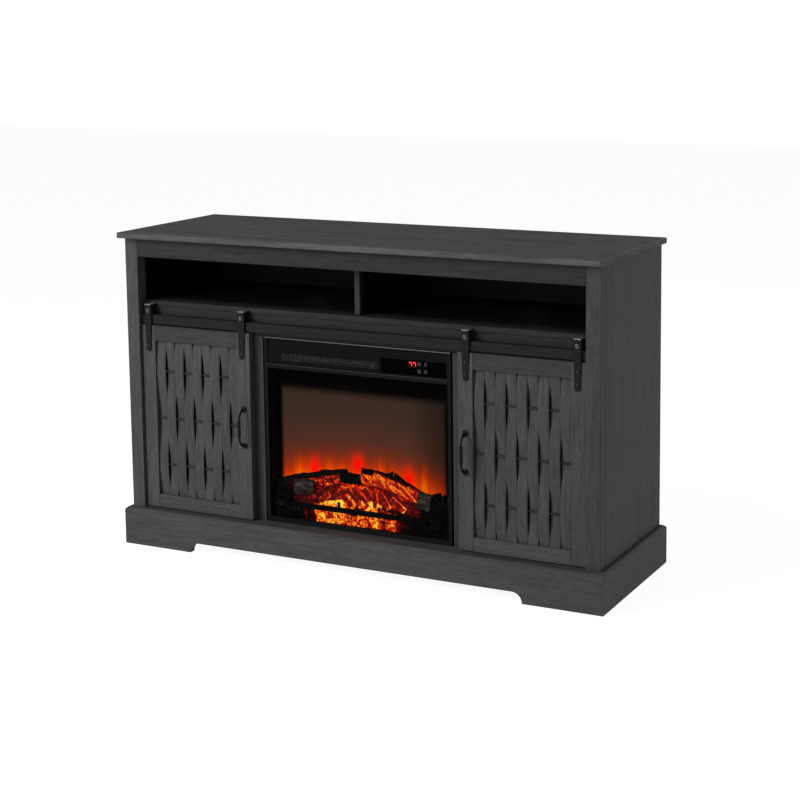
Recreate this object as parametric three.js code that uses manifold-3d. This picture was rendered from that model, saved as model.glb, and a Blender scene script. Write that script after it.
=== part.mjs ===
// A fireplace media console: a farmhouse cabinet with two open bays, an electric firebox
// and two woven doors that hang from wheels on a rail.
// Lengths are millimetres. X runs to the right, Y to the back and Z up. The origin is on
// the floor, in the middle of the cabinet.
import * as THREE from 'three';
import { mergeVertices } from 'three/addons/utils/BufferGeometryUtils.js';
import Module from 'manifold-3d';

const wasm = await Module();
wasm.setup();

// Clearances
const fitGap = 0.3; // between pieces that touch or turn in each other
const weld = 0.0001; // corners nearer than this are one corner
const lap = 1; // how far joined shapes run into each other
const overrun = 5; // how far a cutting shape runs past what it cuts

// Cabinet
const totalHeight = 849;
const topWidth = 1372;
const topDepth = 458;
const topThick = 15;
const topEase = 1.5;
const sideOverhang = 9;
const frontOverhang = 24;
const backOverhang = 14;
const boardThick = 15;
const boardEase = 0.8;
const pillarWidth = 38;
const faceSetback = 35; // the face frame lies this far behind the pillars
const topRailThick = 18;
const topRailHeight = 50;
const bayHeight = 171; // from the shelf to the underside of the top
const dividerSetback = 50;
const fasciaThick = 18;
const fasciaHeight = 56;
const innerStileWidth = 35;
const innerStileThick = 18;
const fireOpening = 548; // between the two inner stiles
const partitionInset = 10; // from the stile's edge to the partition
const backPanelThick = 4;
const cableHoleRadius = 25;
const cableHoleRise = 92; // above the shelf, where the top rail hides them from the front
const ventWidth = 320;
const ventHeight = 60;
const ventDrop = 62; // below the fascia

// Plinth
const plinthHeight = 100;
const plinthSideProud = 15;
const plinthFrontProud = 19;
const plinthBackProud = 12;
const plinthChamfer = 6;
const archHeight = 27;
const footLength = 210; // from the end of the front plinth to the arch
const archRadius = 27;

// Rail for the doors
const railHeight = 25;
const railThick = 14;
const railRise = 11.5; // above the fascia's lower edge
const railFrontSetback = 12.7; // behind the pillars
const spacerRadius = 6;
const spacerCount = 5;
const spacerInset = 70; // from the rail's end to the first spacer

// Doors
const doorThick = 20;
const doorSetback = 10; // behind the pillars
const doorRailGap = 3.5;
const doorFloorGap = 3;
const doorSideGap = 2;
const doorLap = 9; // over the inner stile
const stileWidth = 40;
const doorTopRail = 41;
const doorBottomRail = 36;
const slatCount = 9;
const slatThick = 3.2;
const slatGap = 0.5;
const slatTenon = 6;
const slatSteps = 20;
const rodRadius = 3.5;
const rodHoleDepth = 12;
const rowPitchShare = 0.3024; // of the panel's height, between the three rods

// Door handles
const handleSpacing = 97; // between the two rosettes
const handleProjection = 26;
const handleBendShare = 0.235; // of the spacing, for each bend
const handleDrop = 1.5; // below the door's middle
const armRadius = 2.6;
const rosetteRadius = 8;
const rosetteHeight = 4;
const gripRadius = 5;
const gripLength = 46;
const gripEndRadius = 3.4;
const collarRadius = 5.4;
const collarLength = 2.4;

// Door hangers
const hangerInset = 22; // from the door's edge
const strapWidth = 20;
const strapThick = 3;
const strapTipWidth = 14;
const strapRise = 18.2; // above the axle
const strapOnDoor = 70;
const hookLegGap = 2; // above the rail
const axleRadius = 4;
const boltHeadRadius = 5.5;
const boltHeadHeight = 2.6;

// Wheels
const treadRadius = 10;
const flangeRadius = 13;
const flangeThick = 1.8;
const wheelSideGap = 0.5;

// Firebox shell and bezel
const bezelSideGap = 4;
const bezelTopGap = 1;
const bezelDepth = 12;
const bezelProud = 1.5; // in front of the face frame
const bezelSideWidth = 10;
const bezelBottomHeight = 13;
const bezelTopHeight = 5;
const bandHeight = 64; // the band of grille and controls
const bandSetback = 3;
const bandThick = 2.5;
const midStripHeight = 11;
const shellInset = 6; // from the bezel's edge to the shell
const shellDepth = 140;
const shellWall = 1.5;
const heaterDeckDrop = 7; // below the band
const shellSlotCount = 8;
const shellSlotWidth = 36;
const shellSlotHeight = 6;
const shellSlotPitch = 52;
const shellSlotRise = 33; // above the heater's deck
const glassThick = 3;
const screenThick = 3;
const screenSetback = 45; // behind the bezel's front

// Grille and controls
const grilleInset = 38; // from the bezel's side
const grilleRise = 7.5; // above the band's lower edge
const grilleHeight = 23;
const grillePanelGap = 4;
const grilleSlotCount = 18;
const grilleRows = 2;
const grilleWeb = 3;
const panelInset = 4;
const panelRise = 2.5;
const panelWidth = 184;
const panelHeight = 38;
const panelThick = 2.5;
const displayInset = 77; // from the panel's left edge
const displayRise = 19.5; // above the panel's lower edge
const displayWidth = 25;
const displayHeight = 16;
const displayThick = 3.5;
const buttonSize = 11;
const buttonPitchX = 17.5;
const buttonPitchZ = 18.5;
const buttonInset = 110; // from the panel's left edge
const buttonRise = 12; // above the panel's lower edge
const buttonProud = 1.2;
const buttonFlange = 1.4;
const buttonFlangeThick = 1.2;
const buttonTravel = 1;

// Logs, embers and grate
const emberSideGap = 12.5;
const emberFrontHeight = 16;
const emberStepHeight = 40;
const emberBackHeight = 82;
const emberScreenGap = 0.5;
const emberGlassGap = 7;
const coalRadius = 9;
const coalCount = 20;
const coalLongShare = 1.35;
const logPileWidth = 250; // half of it
const logPileHeight = 150; // from the shell's floor to the highest log
const logSegments = 9;
const logRings = 5;
const logFlattenShare = 0.62;
const logRoughShare = 0.09;
const logRidges = [3, 2];
const logTwists = [7, -9];
const grateBarHeight = 10.5;
const grateBarThick = 4;
const grateRise = 34.2; // above the bezel's lower rail
const grateHalfLength = 192;
const gratePegWidth = 7;
const gratePegHeight = 14;
const gratePegX = 59;
const grateLegWidth = 8;
const grateLegX = 150;
const grateGlassGap = 1;

// Flame spinner behind the screen
const spinnerRise = 48.2; // above the shell's floor
const spinnerSetback = 88; // behind the bezel's front
const spinnerRadius = 22;
const spinnerShaftRadius = 3;
const spinnerFlagCount = 9;
const spinnerFlagWidth = 26;
const spinnerFlagThick = 1.2;
const motorRadius = 18;
const motorLength = 22;

// Blower in the top of the shell
const blowerSetback = 84;
const blowerRise = 38; // above the heater's deck
const blowerRadius = 26;
const blowerInnerRadius = 19;
const blowerInset = 22; // from the grille's left edge
const blowerMotorInset = 32; // from the grille's right edge
const blowerDisc = 2;
const blowerBladeCount = 12;
const blowerBladeThick = 1.2;
const blowerShaftRadius = 3;
const blowerMotorRadius = 24;
const blowerMotorLength = 44;
const blowerMotorFoot = 30;
const elementSetback = 36;
const elementThick = 8;
const elementRise = 16; // above the heater's deck
const elementHeight = 44;
const elementFrame = 5;
const elementFins = 14;
const elementFinThick = 1.5;
const elementFootWidth = 12;

// Cord gland on the back of the shell
const glandX = 205;
const glandRise = 33.2; // above the shell's floor
const glandRadius = 11;
const glandFlange = 3;
const glandLength = 14;
const glandNose = 6;

// Facets
const roundSides = 24;
const smallSides = 12;
const arcSteps = 6;

// Places that follow from the sizes above
const bodyFront = -topDepth / 2 + frontOverhang;
const bodyBack = topDepth / 2 - backOverhang;
const bodyHalf = topWidth / 2 - sideOverhang;
const innerHalf = bodyHalf - boardThick;
const topUnder = totalHeight - topThick;
const faceFront = bodyFront + faceSetback;
const backPanelFront = bodyBack - backPanelThick;
const pillarInner = bodyHalf - pillarWidth;
const shelfTop = topUnder - bayHeight;
const shelfUnder = shelfTop - boardThick;
const fasciaBottom = shelfUnder - fasciaHeight;
const topRailBottom = topUnder - topRailHeight;
const cabinetShelfTop = (plinthHeight + fasciaBottom) / 2;
const cableHoleHeight = shelfTop + cableHoleRise;
const ventTop = fasciaBottom - ventDrop;
const fireHalf = fireOpening / 2;
const stileBack = faceFront + innerStileThick;
const partitionInner = fireHalf + partitionInset;
const partitionOuter = partitionInner + boardThick;

// Places of the rail, the doors and their hangers
const railFront = bodyFront + railFrontSetback;
const railBack = railFront + railThick;
const railBottom = fasciaBottom + railRise;
const railTop = railBottom + railHeight;
const doorFront = bodyFront + doorSetback;
const doorBack = doorFront + doorThick;
const doorMid = doorFront + doorThick / 2;
const doorTop = railBottom - doorRailGap;
const doorBottom = plinthHeight + doorFloorGap;
const doorOuter = pillarInner - doorSideGap;
const doorInner = fireHalf + innerStileWidth - doorLap;
const panelOpening = doorOuter - doorInner - 2 * stileWidth;
const openingBottom = doorBottom + doorBottomRail;
const openingTop = doorTop - doorTopRail;
const centreRowHeight = (openingBottom + openingTop) / 2;
const rowPitch = (openingTop - openingBottom) * rowPitchShare;
const handleHeight = (doorBottom + doorTop) / 2 - handleDrop;
const strapBack = doorFront - fitGap;
const strapFront = strapBack - strapThick;
const axleHeight = railTop + fitGap + treadRadius;
const strapTop = axleHeight + strapRise;
const strapTip = doorTop - strapOnDoor;
const hookLegBottom = railTop + hookLegGap;

// Places of the firebox
const bezelFront = faceFront - bezelProud;
const bezelBack = bezelFront + bezelDepth;
const bezelHalf = fireHalf - bezelSideGap;
const bezelBottom = plinthHeight + fitGap;
const bezelTop = fasciaBottom - bezelTopGap;
const bezelInner = bezelHalf - bezelSideWidth;
const bandTop = bezelTop - bezelTopHeight;
const bandBottom = bandTop - bandHeight;
const bandFront = bezelFront + bandSetback;
const glassFront = bezelFront + bandSetback;
const glassBottom = bezelBottom + bezelBottomHeight;
const glassTop = bandBottom - midStripHeight;
const heaterDeck = bandBottom - heaterDeckDrop;
const heaterDeckTop = heaterDeck + shellWall + fitGap;
const shellFront = bezelBack + fitGap;
const shellBack = shellFront + shellDepth;
const shellHalf = bezelHalf - shellInset;
const shellInner = shellHalf - shellWall;
const shellTop = bezelTop - shellInset;
const shellFloor = bezelBottom + shellWall;
const shellSlotBottom = heaterDeck + shellSlotRise;
const screenFront = bezelFront + screenSetback;
const grilleLeft = -bezelInner + grilleInset;
const panelRight = bezelInner - panelInset;
const panelLeft = panelRight - panelWidth;
const panelBottom = bandBottom + panelRise;
const grilleRight = panelLeft - grillePanelGap;
const grilleBottom = bandBottom + grilleRise;
const displayLeft = panelLeft + displayInset;
const displayBottom = panelBottom + displayRise;
const grateBarBottom = glassBottom + grateRise;
const emberHalf = shellInner - emberSideGap;
const spinnerHeight = shellFloor + spinnerRise;
const glandHeight = shellFloor + glandRise;
const blowerHeight = heaterDeck + blowerRise;
const blowerLeft = grilleLeft + blowerInset;
const blowerRight = grilleRight - blowerMotorInset;
const elementBottom = heaterDeck + elementRise;
const elementTop = elementBottom + elementHeight;

const woodColour = 0x3d3f41;
const materials = {
  wood: { color: woodColour, roughness: 0.62, metalness: 0 },
  innerWood: { color: 0x2b2c2e, roughness: 0.7, metalness: 0 },
  hardboard: { color: 0x232425, roughness: 0.8, metalness: 0 },
  iron: { color: 0x17181a, roughness: 0.45, metalness: 0.8 },
  shell: { color: 0x0e0e0f, roughness: 0.6, metalness: 0.4 },
  bezel: { color: 0x1d1e20, roughness: 0.4, metalness: 0.5 },
  gloss: { color: 0x060607, roughness: 0.12, metalness: 0 },
  glass: { color: 0x0a0a0b, roughness: 0.03, metalness: 0 },
  screen: { color: 0x6b3a22, roughness: 0.5, metalness: 0 },
  ember: { color: 0x7a2b12, roughness: 0.8, metalness: 0 },
  display: { color: 0xd81f1f, roughness: 0.3, metalness: 0 },
  zinc: { color: 0x8d8f92, roughness: 0.35, metalness: 0.9 },
  rubber: { color: 0x101010, roughness: 0.9, metalness: 0 },
};

// The whole console
const fireplaceConsole = new THREE.Group();
const finishes = {};
for (const [name, values] of Object.entries(materials)) {
  finishes[name] = new THREE.MeshStandardMaterial(values);
}

function add(name, shape, finish) {
  const geometry = shape.isBufferGeometry ? shape : toGeometry(shape);
  const mesh = new THREE.Mesh(geometry, finishes[finish]);
  mesh.name = name;
  fireplaceConsole.add(mesh);
}

// Booleans
function toSolid(geometry) {
  const bare = geometry.clone();
  bare.deleteAttribute('normal');
  bare.deleteAttribute('uv');
  const joined = mergeVertices(bare, weld);
  return new wasm.Manifold(new wasm.Mesh({
    numProp: 3,
    vertProperties: new Float32Array(joined.attributes.position.array),
    triVerts: new Uint32Array(joined.index.array),
  }));
}

function toGeometry(solid) {
  const mesh = solid.getMesh();
  const geometry = new THREE.BufferGeometry();
  geometry.setAttribute('position', new THREE.BufferAttribute(mesh.vertProperties, 3));
  geometry.setIndex(new THREE.BufferAttribute(mesh.triVerts, 1));
  geometry.computeVertexNormals();
  return geometry;
}

function join(...shapes) {
  return shapes.map(asSolid).reduce((all, next) => all.add(next));
}

function cut(shape, ...tools) {
  return tools.map(asSolid).reduce((left, tool) => left.subtract(tool), asSolid(shape));
}

function asSolid(shape) {
  return shape.isBufferGeometry ? toSolid(shape) : shape;
}

// Extrusions drawn in the front, side or plan view
const sideTurn = new THREE.Matrix4().makeBasis(
  new THREE.Vector3(0, 1, 0),
  new THREE.Vector3(0, 0, 1),
  new THREE.Vector3(1, 0, 0),
);

function outline(points) {
  return new THREE.Shape(points.map(([u, v]) => new THREE.Vector2(u, v)));
}

function extrude(shape, length, bevel = 0) {
  const geometry = new THREE.ExtrudeGeometry(shape, {
    depth: length - 2 * bevel,
    bevelEnabled: bevel > 0,
    bevelThickness: bevel,
    bevelSize: bevel,
    bevelOffset: -bevel,
    bevelSegments: 1,
    curveSegments: arcSteps,
  });
  return geometry.translate(0, 0, bevel);
}

function frontView(shape, yFront, yBack, bevel = 0) {
  return extrude(shape, yBack - yFront, bevel).rotateX(Math.PI / 2).translate(0, yBack, 0);
}

function sideView(shape, xLeft, xRight, bevel = 0) {
  return extrude(shape, xRight - xLeft, bevel).applyMatrix4(sideTurn).translate(xLeft, 0, 0);
}

function planView(shape, zLow, zHigh, bevel = 0) {
  return extrude(shape, zHigh - zLow, bevel).translate(0, 0, zLow);
}

function rectangle(u0, u1, v0, v1) {
  return outline([[u0, v0], [u1, v0], [u1, v1], [u0, v1]]);
}

function cornered(u0, u1, v0, v1, c) {
  return outline([
    [u0 + c, v0], [u1 - c, v0], [u1, v0 + c], [u1, v1 - c],
    [u1 - c, v1], [u0 + c, v1], [u0, v1 - c], [u0, v0 + c],
  ]);
}

function block(x0, x1, y0, y1, z0, z1) {
  return planView(rectangle(x0, x1, y0, y1), z0, z1);
}

// A board with its edges eased all round
function board(x0, x1, y0, y1, z0, z1, ease = boardEase) {
  return planView(cornered(x0, x1, y0, y1, ease), z0, z1, ease);
}

function mirrored(side, near, far) {
  return side < 0 ? [-far, -near] : [near, far];
}

function rodX(x0, x1, y, z, radius, sides) {
  const rod = new THREE.CylinderGeometry(radius, radius, x1 - x0, sides);
  return rod.rotateZ(Math.PI / 2).translate((x0 + x1) / 2, y, z);
}

function rodY(x, y0, y1, z, radius, sides) {
  const rod = new THREE.CylinderGeometry(radius, radius, y1 - y0, sides);
  return rod.translate(x, (y0 + y1) / 2, z);
}

const sides = [['left', -1], ['right', 1]];

// Top and carcass
function makeCarcass() {
  add('top_panel', board(-topWidth / 2, topWidth / 2, -topDepth / 2, topDepth / 2,
    topUnder, totalHeight, topEase), 'wood');
  add('top_rail', board(-pillarInner + fitGap, pillarInner - fitGap, bodyFront,
    bodyFront + topRailThick, topRailBottom, topUnder - fitGap), 'wood');
  add('shelf_board', board(-innerHalf + fitGap, innerHalf - fitGap, faceFront,
    backPanelFront - fitGap, shelfUnder, shelfTop), 'wood');
  add('shelf_divider', board(-boardThick / 2, boardThick / 2, bodyFront + dividerSetback,
    backPanelFront - fitGap, shelfTop + fitGap, topUnder - fitGap), 'wood');
  add('fascia_rail', board(-innerHalf + fitGap, innerHalf - fitGap, faceFront,
    faceFront + fasciaThick, fasciaBottom, shelfUnder - fitGap), 'wood');
  for (const [name, side] of sides) {
    const [panel0, panel1] = mirrored(side, innerHalf, bodyHalf);
    add(`${name}_side_panel`, board(panel0, panel1, faceFront, bodyBack, 0,
      topUnder - fitGap), 'wood');
    const [pillar0, pillar1] = mirrored(side, pillarInner, bodyHalf);
    add(`${name}_pillar`, board(pillar0, pillar1, bodyFront, faceFront - fitGap, 0,
      topUnder - fitGap), 'wood');
    const [stile0, stile1] = mirrored(side, fireHalf, fireHalf + innerStileWidth);
    add(`${name}_inner_stile`, board(stile0, stile1, faceFront, stileBack,
      plinthHeight + fitGap, fasciaBottom - fitGap), 'wood');
    const [wall0, wall1] = mirrored(side, partitionInner, partitionOuter);
    add(`${name}_partition`, board(wall0, wall1, stileBack + fitGap, backPanelFront - fitGap,
      plinthHeight + fitGap, shelfUnder - fitGap), 'innerWood');
    const [shelf0, shelf1] = mirrored(side, partitionOuter + fitGap, innerHalf - fitGap);
    add(`${name}_cabinet_shelf`, board(shelf0, shelf1, stileBack + fitGap,
      backPanelFront - fitGap, cabinetShelfTop - boardThick, cabinetShelfTop), 'innerWood');
  }
}

// Floor of the cabinet, notched round the pillars
function makeBottomPanel() {
  const wide = innerHalf - fitGap;
  const narrow = pillarInner - fitGap;
  const back = backPanelFront - fitGap;
  const plan = outline([
    [-narrow, bodyFront], [narrow, bodyFront], [narrow, faceFront], [wide, faceFront],
    [wide, back], [-wide, back], [-wide, faceFront], [-narrow, faceFront],
  ]);
  add('bottom_panel', planView(plan, plinthHeight - boardThick, plinthHeight), 'wood');
}

// Back, with a cable hole in each bay and a vent behind the firebox
function makeBackPanel() {
  const low = plinthHeight - boardThick;
  const sheet = block(-innerHalf + fitGap, innerHalf - fitGap, backPanelFront, bodyBack,
    low, topUnder - fitGap);
  const tools = sides.map(([, side]) => rodY(side * innerHalf / 2, backPanelFront - overrun,
    bodyBack + overrun, cableHoleHeight, cableHoleRadius, roundSides));
  tools.push(block(-ventWidth / 2, ventWidth / 2, backPanelFront - overrun, bodyBack + overrun,
    ventTop - ventHeight, ventTop));
  add('back_panel', cut(sheet, ...tools), 'hardboard');
}

// Plinth: four mitred boards round the body, the front one arched
const plinthHalf = bodyHalf + plinthSideProud;
const plinthFront = bodyFront - plinthFrontProud;
const plinthBack = bodyBack + plinthBackProud;

function makePlinth() {
  const innerX = bodyHalf + fitGap;
  const innerFront = bodyFront - fitGap;
  const innerBack = bodyBack + fitGap;
  const low = plinthHeight - plinthChamfer;
  const band = planView(outline([
    [-plinthHalf, plinthFront], [plinthHalf, plinthFront],
    [plinthHalf, plinthBack], [-plinthHalf, plinthBack],
  ]), 0, low);
  const crown = chamferBand(low);
  const ring = cut(join(band, crown), block(-innerX, innerX, innerFront, innerBack,
    -overrun, plinthHeight + overrun));
  const gap = fitGap / 2;
  const frontPart = outline([
    [-plinthHalf + gap, plinthFront], [plinthHalf - gap, plinthFront],
    [innerX - gap, innerFront], [-innerX + gap, innerFront],
  ]);
  const backPart = outline([
    [-innerX + gap, innerBack], [innerX - gap, innerBack],
    [plinthHalf - gap, plinthBack], [-plinthHalf + gap, plinthBack],
  ]);
  add('plinth_front', cut(slice(ring, frontPart), archTool()), 'wood');
  add('plinth_back', slice(ring, backPart), 'wood');
  for (const [name, side] of sides) {
    const sidePart = outline([
      [side * innerX, innerFront + gap], [side * plinthHalf, plinthFront + gap],
      [side * plinthHalf, plinthBack - gap], [side * innerX, innerBack - gap],
    ]);
    add(`plinth_${name}`, slice(ring, sidePart), 'wood');
  }
}

// The sloped top edge of the plinth, drawn in as it rises
function chamferBand(low) {
  const plan = rectangle(-plinthHalf, plinthHalf, plinthFront, plinthBack);
  const geometry = new THREE.ExtrudeGeometry(plan, {
    depth: lap,
    bevelEnabled: true,
    bevelThickness: plinthChamfer,
    bevelSize: plinthChamfer,
    bevelOffset: -plinthChamfer,
    bevelSegments: 1,
  });
  return geometry.translate(0, 0, low - lap);
}

function slice(solid, plan) {
  const prism = planView(plan, -overrun, plinthHeight + overrun);
  return solid.intersect(toSolid(prism));
}

function archTool() {
  const half = plinthHalf - footLength;
  const arch = new THREE.Shape();
  arch.moveTo(-half, -overrun);
  arch.lineTo(half, -overrun);
  arch.lineTo(half, archHeight - archRadius);
  arch.absarc(half - archRadius, archHeight - archRadius, archRadius, 0, Math.PI / 2, false);
  arch.absarc(-half + archRadius, archHeight - archRadius, archRadius, Math.PI / 2, Math.PI, false);
  return frontView(arch, plinthFront - overrun, bodyFront + overrun);
}

// Rail that the wheels run on, stood off the fascia by round spacers
function makeRail() {
  const end = pillarInner - fitGap;
  const parts = [board(-end, end, railFront, railBack, railBottom, railTop)];
  const first = end - spacerInset;
  for (let i = 0; i < spacerCount; i += 1) {
    const x = -first + 2 * first * i / (spacerCount - 1);
    parts.push(rodY(x, railBack - lap, faceFront - fitGap, railBottom + railHeight / 2,
      spacerRadius, smallSides));
  }
  add('door_rail', join(...parts), 'wood');
}

// Doors: a frame with woven slats, three rods, a handle and two hangers each
const slatPitch = (panelOpening - slatGap) / slatCount;
const weaveReach = rodRadius + fitGap + slatThick / 2;
const rowSteps = [-1, 0, 1];

function slatShape(sign) {
  const low = openingBottom - slatTenon;
  const high = openingTop + slatTenon;
  const front = [];
  const back = [];
  for (let i = 0; i <= slatSteps; i += 1) {
    const z = low + (high - low) * i / slatSteps;
    const y = doorMid + sign * weaveReach * Math.cos(Math.PI * (z - centreRowHeight) / rowPitch);
    front.push([y - slatThick / 2, z]);
    back.unshift([y + slatThick / 2, z]);
  }
  return outline([...back, ...front]);
}

function doorFrame(x0, x1) {
  const shape = rectangle(x0, x1, doorBottom, doorTop);
  shape.holes.push(new THREE.Path(rectangle(x0 + stileWidth, x1 - stileWidth,
    openingBottom, openingTop).getPoints()));
  return frontView(shape, doorFront, doorBack, boardEase);
}

function makeDoor(name, side) {
  const [x0, x1] = mirrored(side, doorInner, doorOuter);
  const parts = [doorFrame(x0, x1)];
  for (let i = 0; i < slatCount; i += 1) {
    const left = x0 + stileWidth + slatGap + i * slatPitch;
    const sign = i % 2 === 0 ? 1 : -1;
    parts.push(sideView(slatShape(sign), left, left + slatPitch - slatGap));
  }
  const holeLeft = x0 + stileWidth - rodHoleDepth;
  const holeRight = x1 - stileWidth + rodHoleDepth;
  const rowNames = ['lower', 'middle', 'upper'];
  const holes = [];
  rowSteps.forEach((step, row) => {
    const z = centreRowHeight + step * rowPitch;
    holes.push(rodX(holeLeft, holeRight, doorMid, z, rodRadius + fitGap, smallSides));
    add(`${name}_${rowNames[row]}_rod`, rodX(holeLeft + fitGap, holeRight - fitGap, doorMid, z,
      rodRadius, smallSides), 'iron');
  });
  add(`${name}_door`, cut(join(...parts), ...holes), 'wood');
  makeHandle(name, side * (doorInner + stileWidth / 2));
}

function makeHandle(name, x) {
  const low = handleHeight - handleSpacing / 2;
  const high = handleHeight + handleSpacing / 2;
  const seat = doorFront - fitGap;
  const gripY = doorFront - handleProjection;
  const bend = handleBendShare * handleSpacing;
  const path = new THREE.CurvePath();
  const start = new THREE.Vector3(x, seat - rosetteHeight / 2, low);
  const lowTurn = new THREE.Vector3(x, gripY, low);
  const lowGrip = new THREE.Vector3(x, gripY, low + bend);
  const highGrip = new THREE.Vector3(x, gripY, high - bend);
  const highTurn = new THREE.Vector3(x, gripY, high);
  const end = new THREE.Vector3(x, seat - rosetteHeight / 2, high);
  path.add(new THREE.QuadraticBezierCurve3(start, lowTurn, lowGrip));
  path.add(new THREE.LineCurve3(lowGrip, highGrip));
  path.add(new THREE.QuadraticBezierCurve3(highGrip, highTurn, end));
  const section = new THREE.Shape().absarc(0, 0, armRadius, 0, 2 * Math.PI, false);
  const bar = new THREE.ExtrudeGeometry(section, {
    steps: roundSides, extrudePath: path, curveSegments: smallSides / 2 - 1, bevelEnabled: false,
  });
  const half = gripLength / 2;
  const profile = [
    [0, -half], [collarRadius, -half], [collarRadius, -half + collarLength],
    [gripEndRadius, -half + 2 * collarLength], [gripRadius, 0],
    [gripEndRadius, half - 2 * collarLength], [collarRadius, half - collarLength],
    [collarRadius, half], [0, half],
  ].map(([r, s]) => new THREE.Vector2(r, s));
  const grip = new THREE.LatheGeometry(profile, smallSides).rotateX(Math.PI / 2)
    .translate(x, gripY, handleHeight);
  const rosettes = [low, high].map((z) => rosette(x, seat, z));
  add(`${name}_handle`, join(bar, grip, ...rosettes), 'iron');
}

function rosette(x, seat, z) {
  const profile = [
    [0, 0], [rosetteRadius, 0], [rosetteRadius, rosetteHeight / 2],
    [armRadius + lap, rosetteHeight], [0, rosetteHeight],
  ].map(([r, s]) => new THREE.Vector2(r, s));
  return new THREE.LatheGeometry(profile, roundSides).rotateX(Math.PI).translate(x, seat, z);
}

function makeHanger(name, x) {
  const half = strapWidth / 2;
  const tip = strapTipWidth / 2;
  const strap = new THREE.Shape();
  strap.moveTo(x + half, doorTop);
  strap.lineTo(x + half, strapTop);
  strap.lineTo(x - half, strapTop);
  strap.lineTo(x - half, doorTop);
  strap.absarc(x, strapTip + tip, tip, Math.PI, 2 * Math.PI, false);
  const wheelBack = railBack + fitGap + flangeThick;
  const legFront = wheelBack + wheelSideGap;
  const legBack = legFront + strapThick;
  const parts = [
    frontView(strap, strapFront, strapBack),
    block(x - half, x + half, strapFront, legBack, strapTop - strapThick, strapTop),
    block(x - half, x + half, legFront, legBack, hookLegBottom, strapTop - lap),
    rodY(x, strapBack - lap, legFront + lap, axleHeight, axleRadius, smallSides),
    rodY(x, strapFront - boltHeadHeight, strapFront + lap, axleHeight, boltHeadRadius, smallSides),
  ];
  add(`${name}_hanger`, join(...parts), 'iron');
}

function makeWheel(name, x) {
  const grooveHalf = railThick / 2 + fitGap;
  const outer = grooveHalf + flangeThick;
  const bore = axleRadius + fitGap;
  const profile = [
    [bore, -outer], [flangeRadius, -outer], [flangeRadius, -outer + flangeThick / 2],
    [treadRadius, -grooveHalf], [treadRadius, grooveHalf],
    [flangeRadius, outer - flangeThick / 2], [flangeRadius, outer], [bore, outer], [bore, -outer],
  ].map(([r, s]) => new THREE.Vector2(r, s));
  const wheel = new THREE.LatheGeometry(profile, roundSides);
  add(`${name}_wheel`, wheel.translate(x, (railFront + railBack) / 2, axleHeight), 'iron');
}

// Firebox: bezel, glass, shell, screen
const grilleHole = [grilleLeft, grilleRight, grilleBottom, grilleBottom + grilleHeight];
const panelHole = [panelLeft, panelRight, panelBottom, panelBottom + panelHeight];

function plateBetween([left, right, low, high], gap, front, thick) {
  return block(left + gap, right - gap, front, front + thick, low + gap, high - gap);
}

function makeBezel() {
  const ring = rectangle(-bezelHalf, bezelHalf, bezelBottom, bezelTop);
  ring.holes.push(new THREE.Path(rectangle(-bezelInner, bezelInner, glassBottom,
    bandTop).getPoints()));
  const strip = block(-bezelInner - lap, bezelInner + lap, bezelFront, bezelBack - lap,
    glassTop, bandBottom);
  const band = block(-bezelInner - lap, bezelInner + lap, bandFront, bandFront + bandThick,
    bandBottom - lap, bandTop + lap);
  const holes = [grilleHole, panelHole].map((hole) => plateBetween(hole, 0,
    bandFront - overrun, bandThick + 2 * overrun));
  const body = join(frontView(ring, bezelFront, bezelBack, boardEase), strip, cut(band, ...holes));
  add('firebox_bezel', body, 'bezel');
  add('firebox_glass', block(-bezelInner + fitGap, bezelInner - fitGap, glassFront,
    glassFront + glassThick, glassBottom + fitGap, glassTop - fitGap), 'glass');
  add('flame_screen', block(-shellInner + fitGap, shellInner - fitGap, screenFront,
    screenFront + screenThick, shellFloor + fitGap, heaterDeck - fitGap), 'screen');
}

function makeShell() {
  const outer = block(-shellHalf, shellHalf, shellFront, shellBack, bezelBottom, shellTop);
  const hollow = block(-shellInner, shellInner, shellFront - overrun, shellBack - shellWall,
    shellFloor, shellTop - shellWall);
  const deck = block(-shellInner - lap, shellInner + lap, shellFront, shellBack - lap,
    heaterDeck, heaterDeck + shellWall);
  const slots = [];
  for (let i = 0; i < shellSlotCount; i += 1) {
    const x = (i - (shellSlotCount - 1) / 2) * shellSlotPitch;
    slots.push(block(x - shellSlotWidth / 2, x + shellSlotWidth / 2, shellBack - overrun,
      shellBack + overrun, shellSlotBottom, shellSlotBottom + shellSlotHeight));
  }
  const glandHole = rodY(glandX, shellBack - overrun, shellBack + overrun, glandHeight,
    glandNose + fitGap, smallSides);
  add('firebox_shell', join(cut(outer, hollow, ...slots, glandHole), deck), 'shell');
}

function makeGland() {
  const seat = shellBack + fitGap;
  const inside = shellBack - shellWall - fitGap;
  const profile = [
    [0, inside], [glandNose, inside], [glandNose, seat], [glandRadius, seat],
    [glandRadius, seat + glandFlange], [glandNose, seat + glandFlange],
    [glandNose / 2, seat + glandLength], [0, seat + glandLength],
  ].map(([r, s]) => new THREE.Vector2(r, s));
  const gland = new THREE.LatheGeometry(profile, smallSides);
  add('cord_gland', gland.translate(glandX, 0, glandHeight), 'rubber');
}

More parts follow.
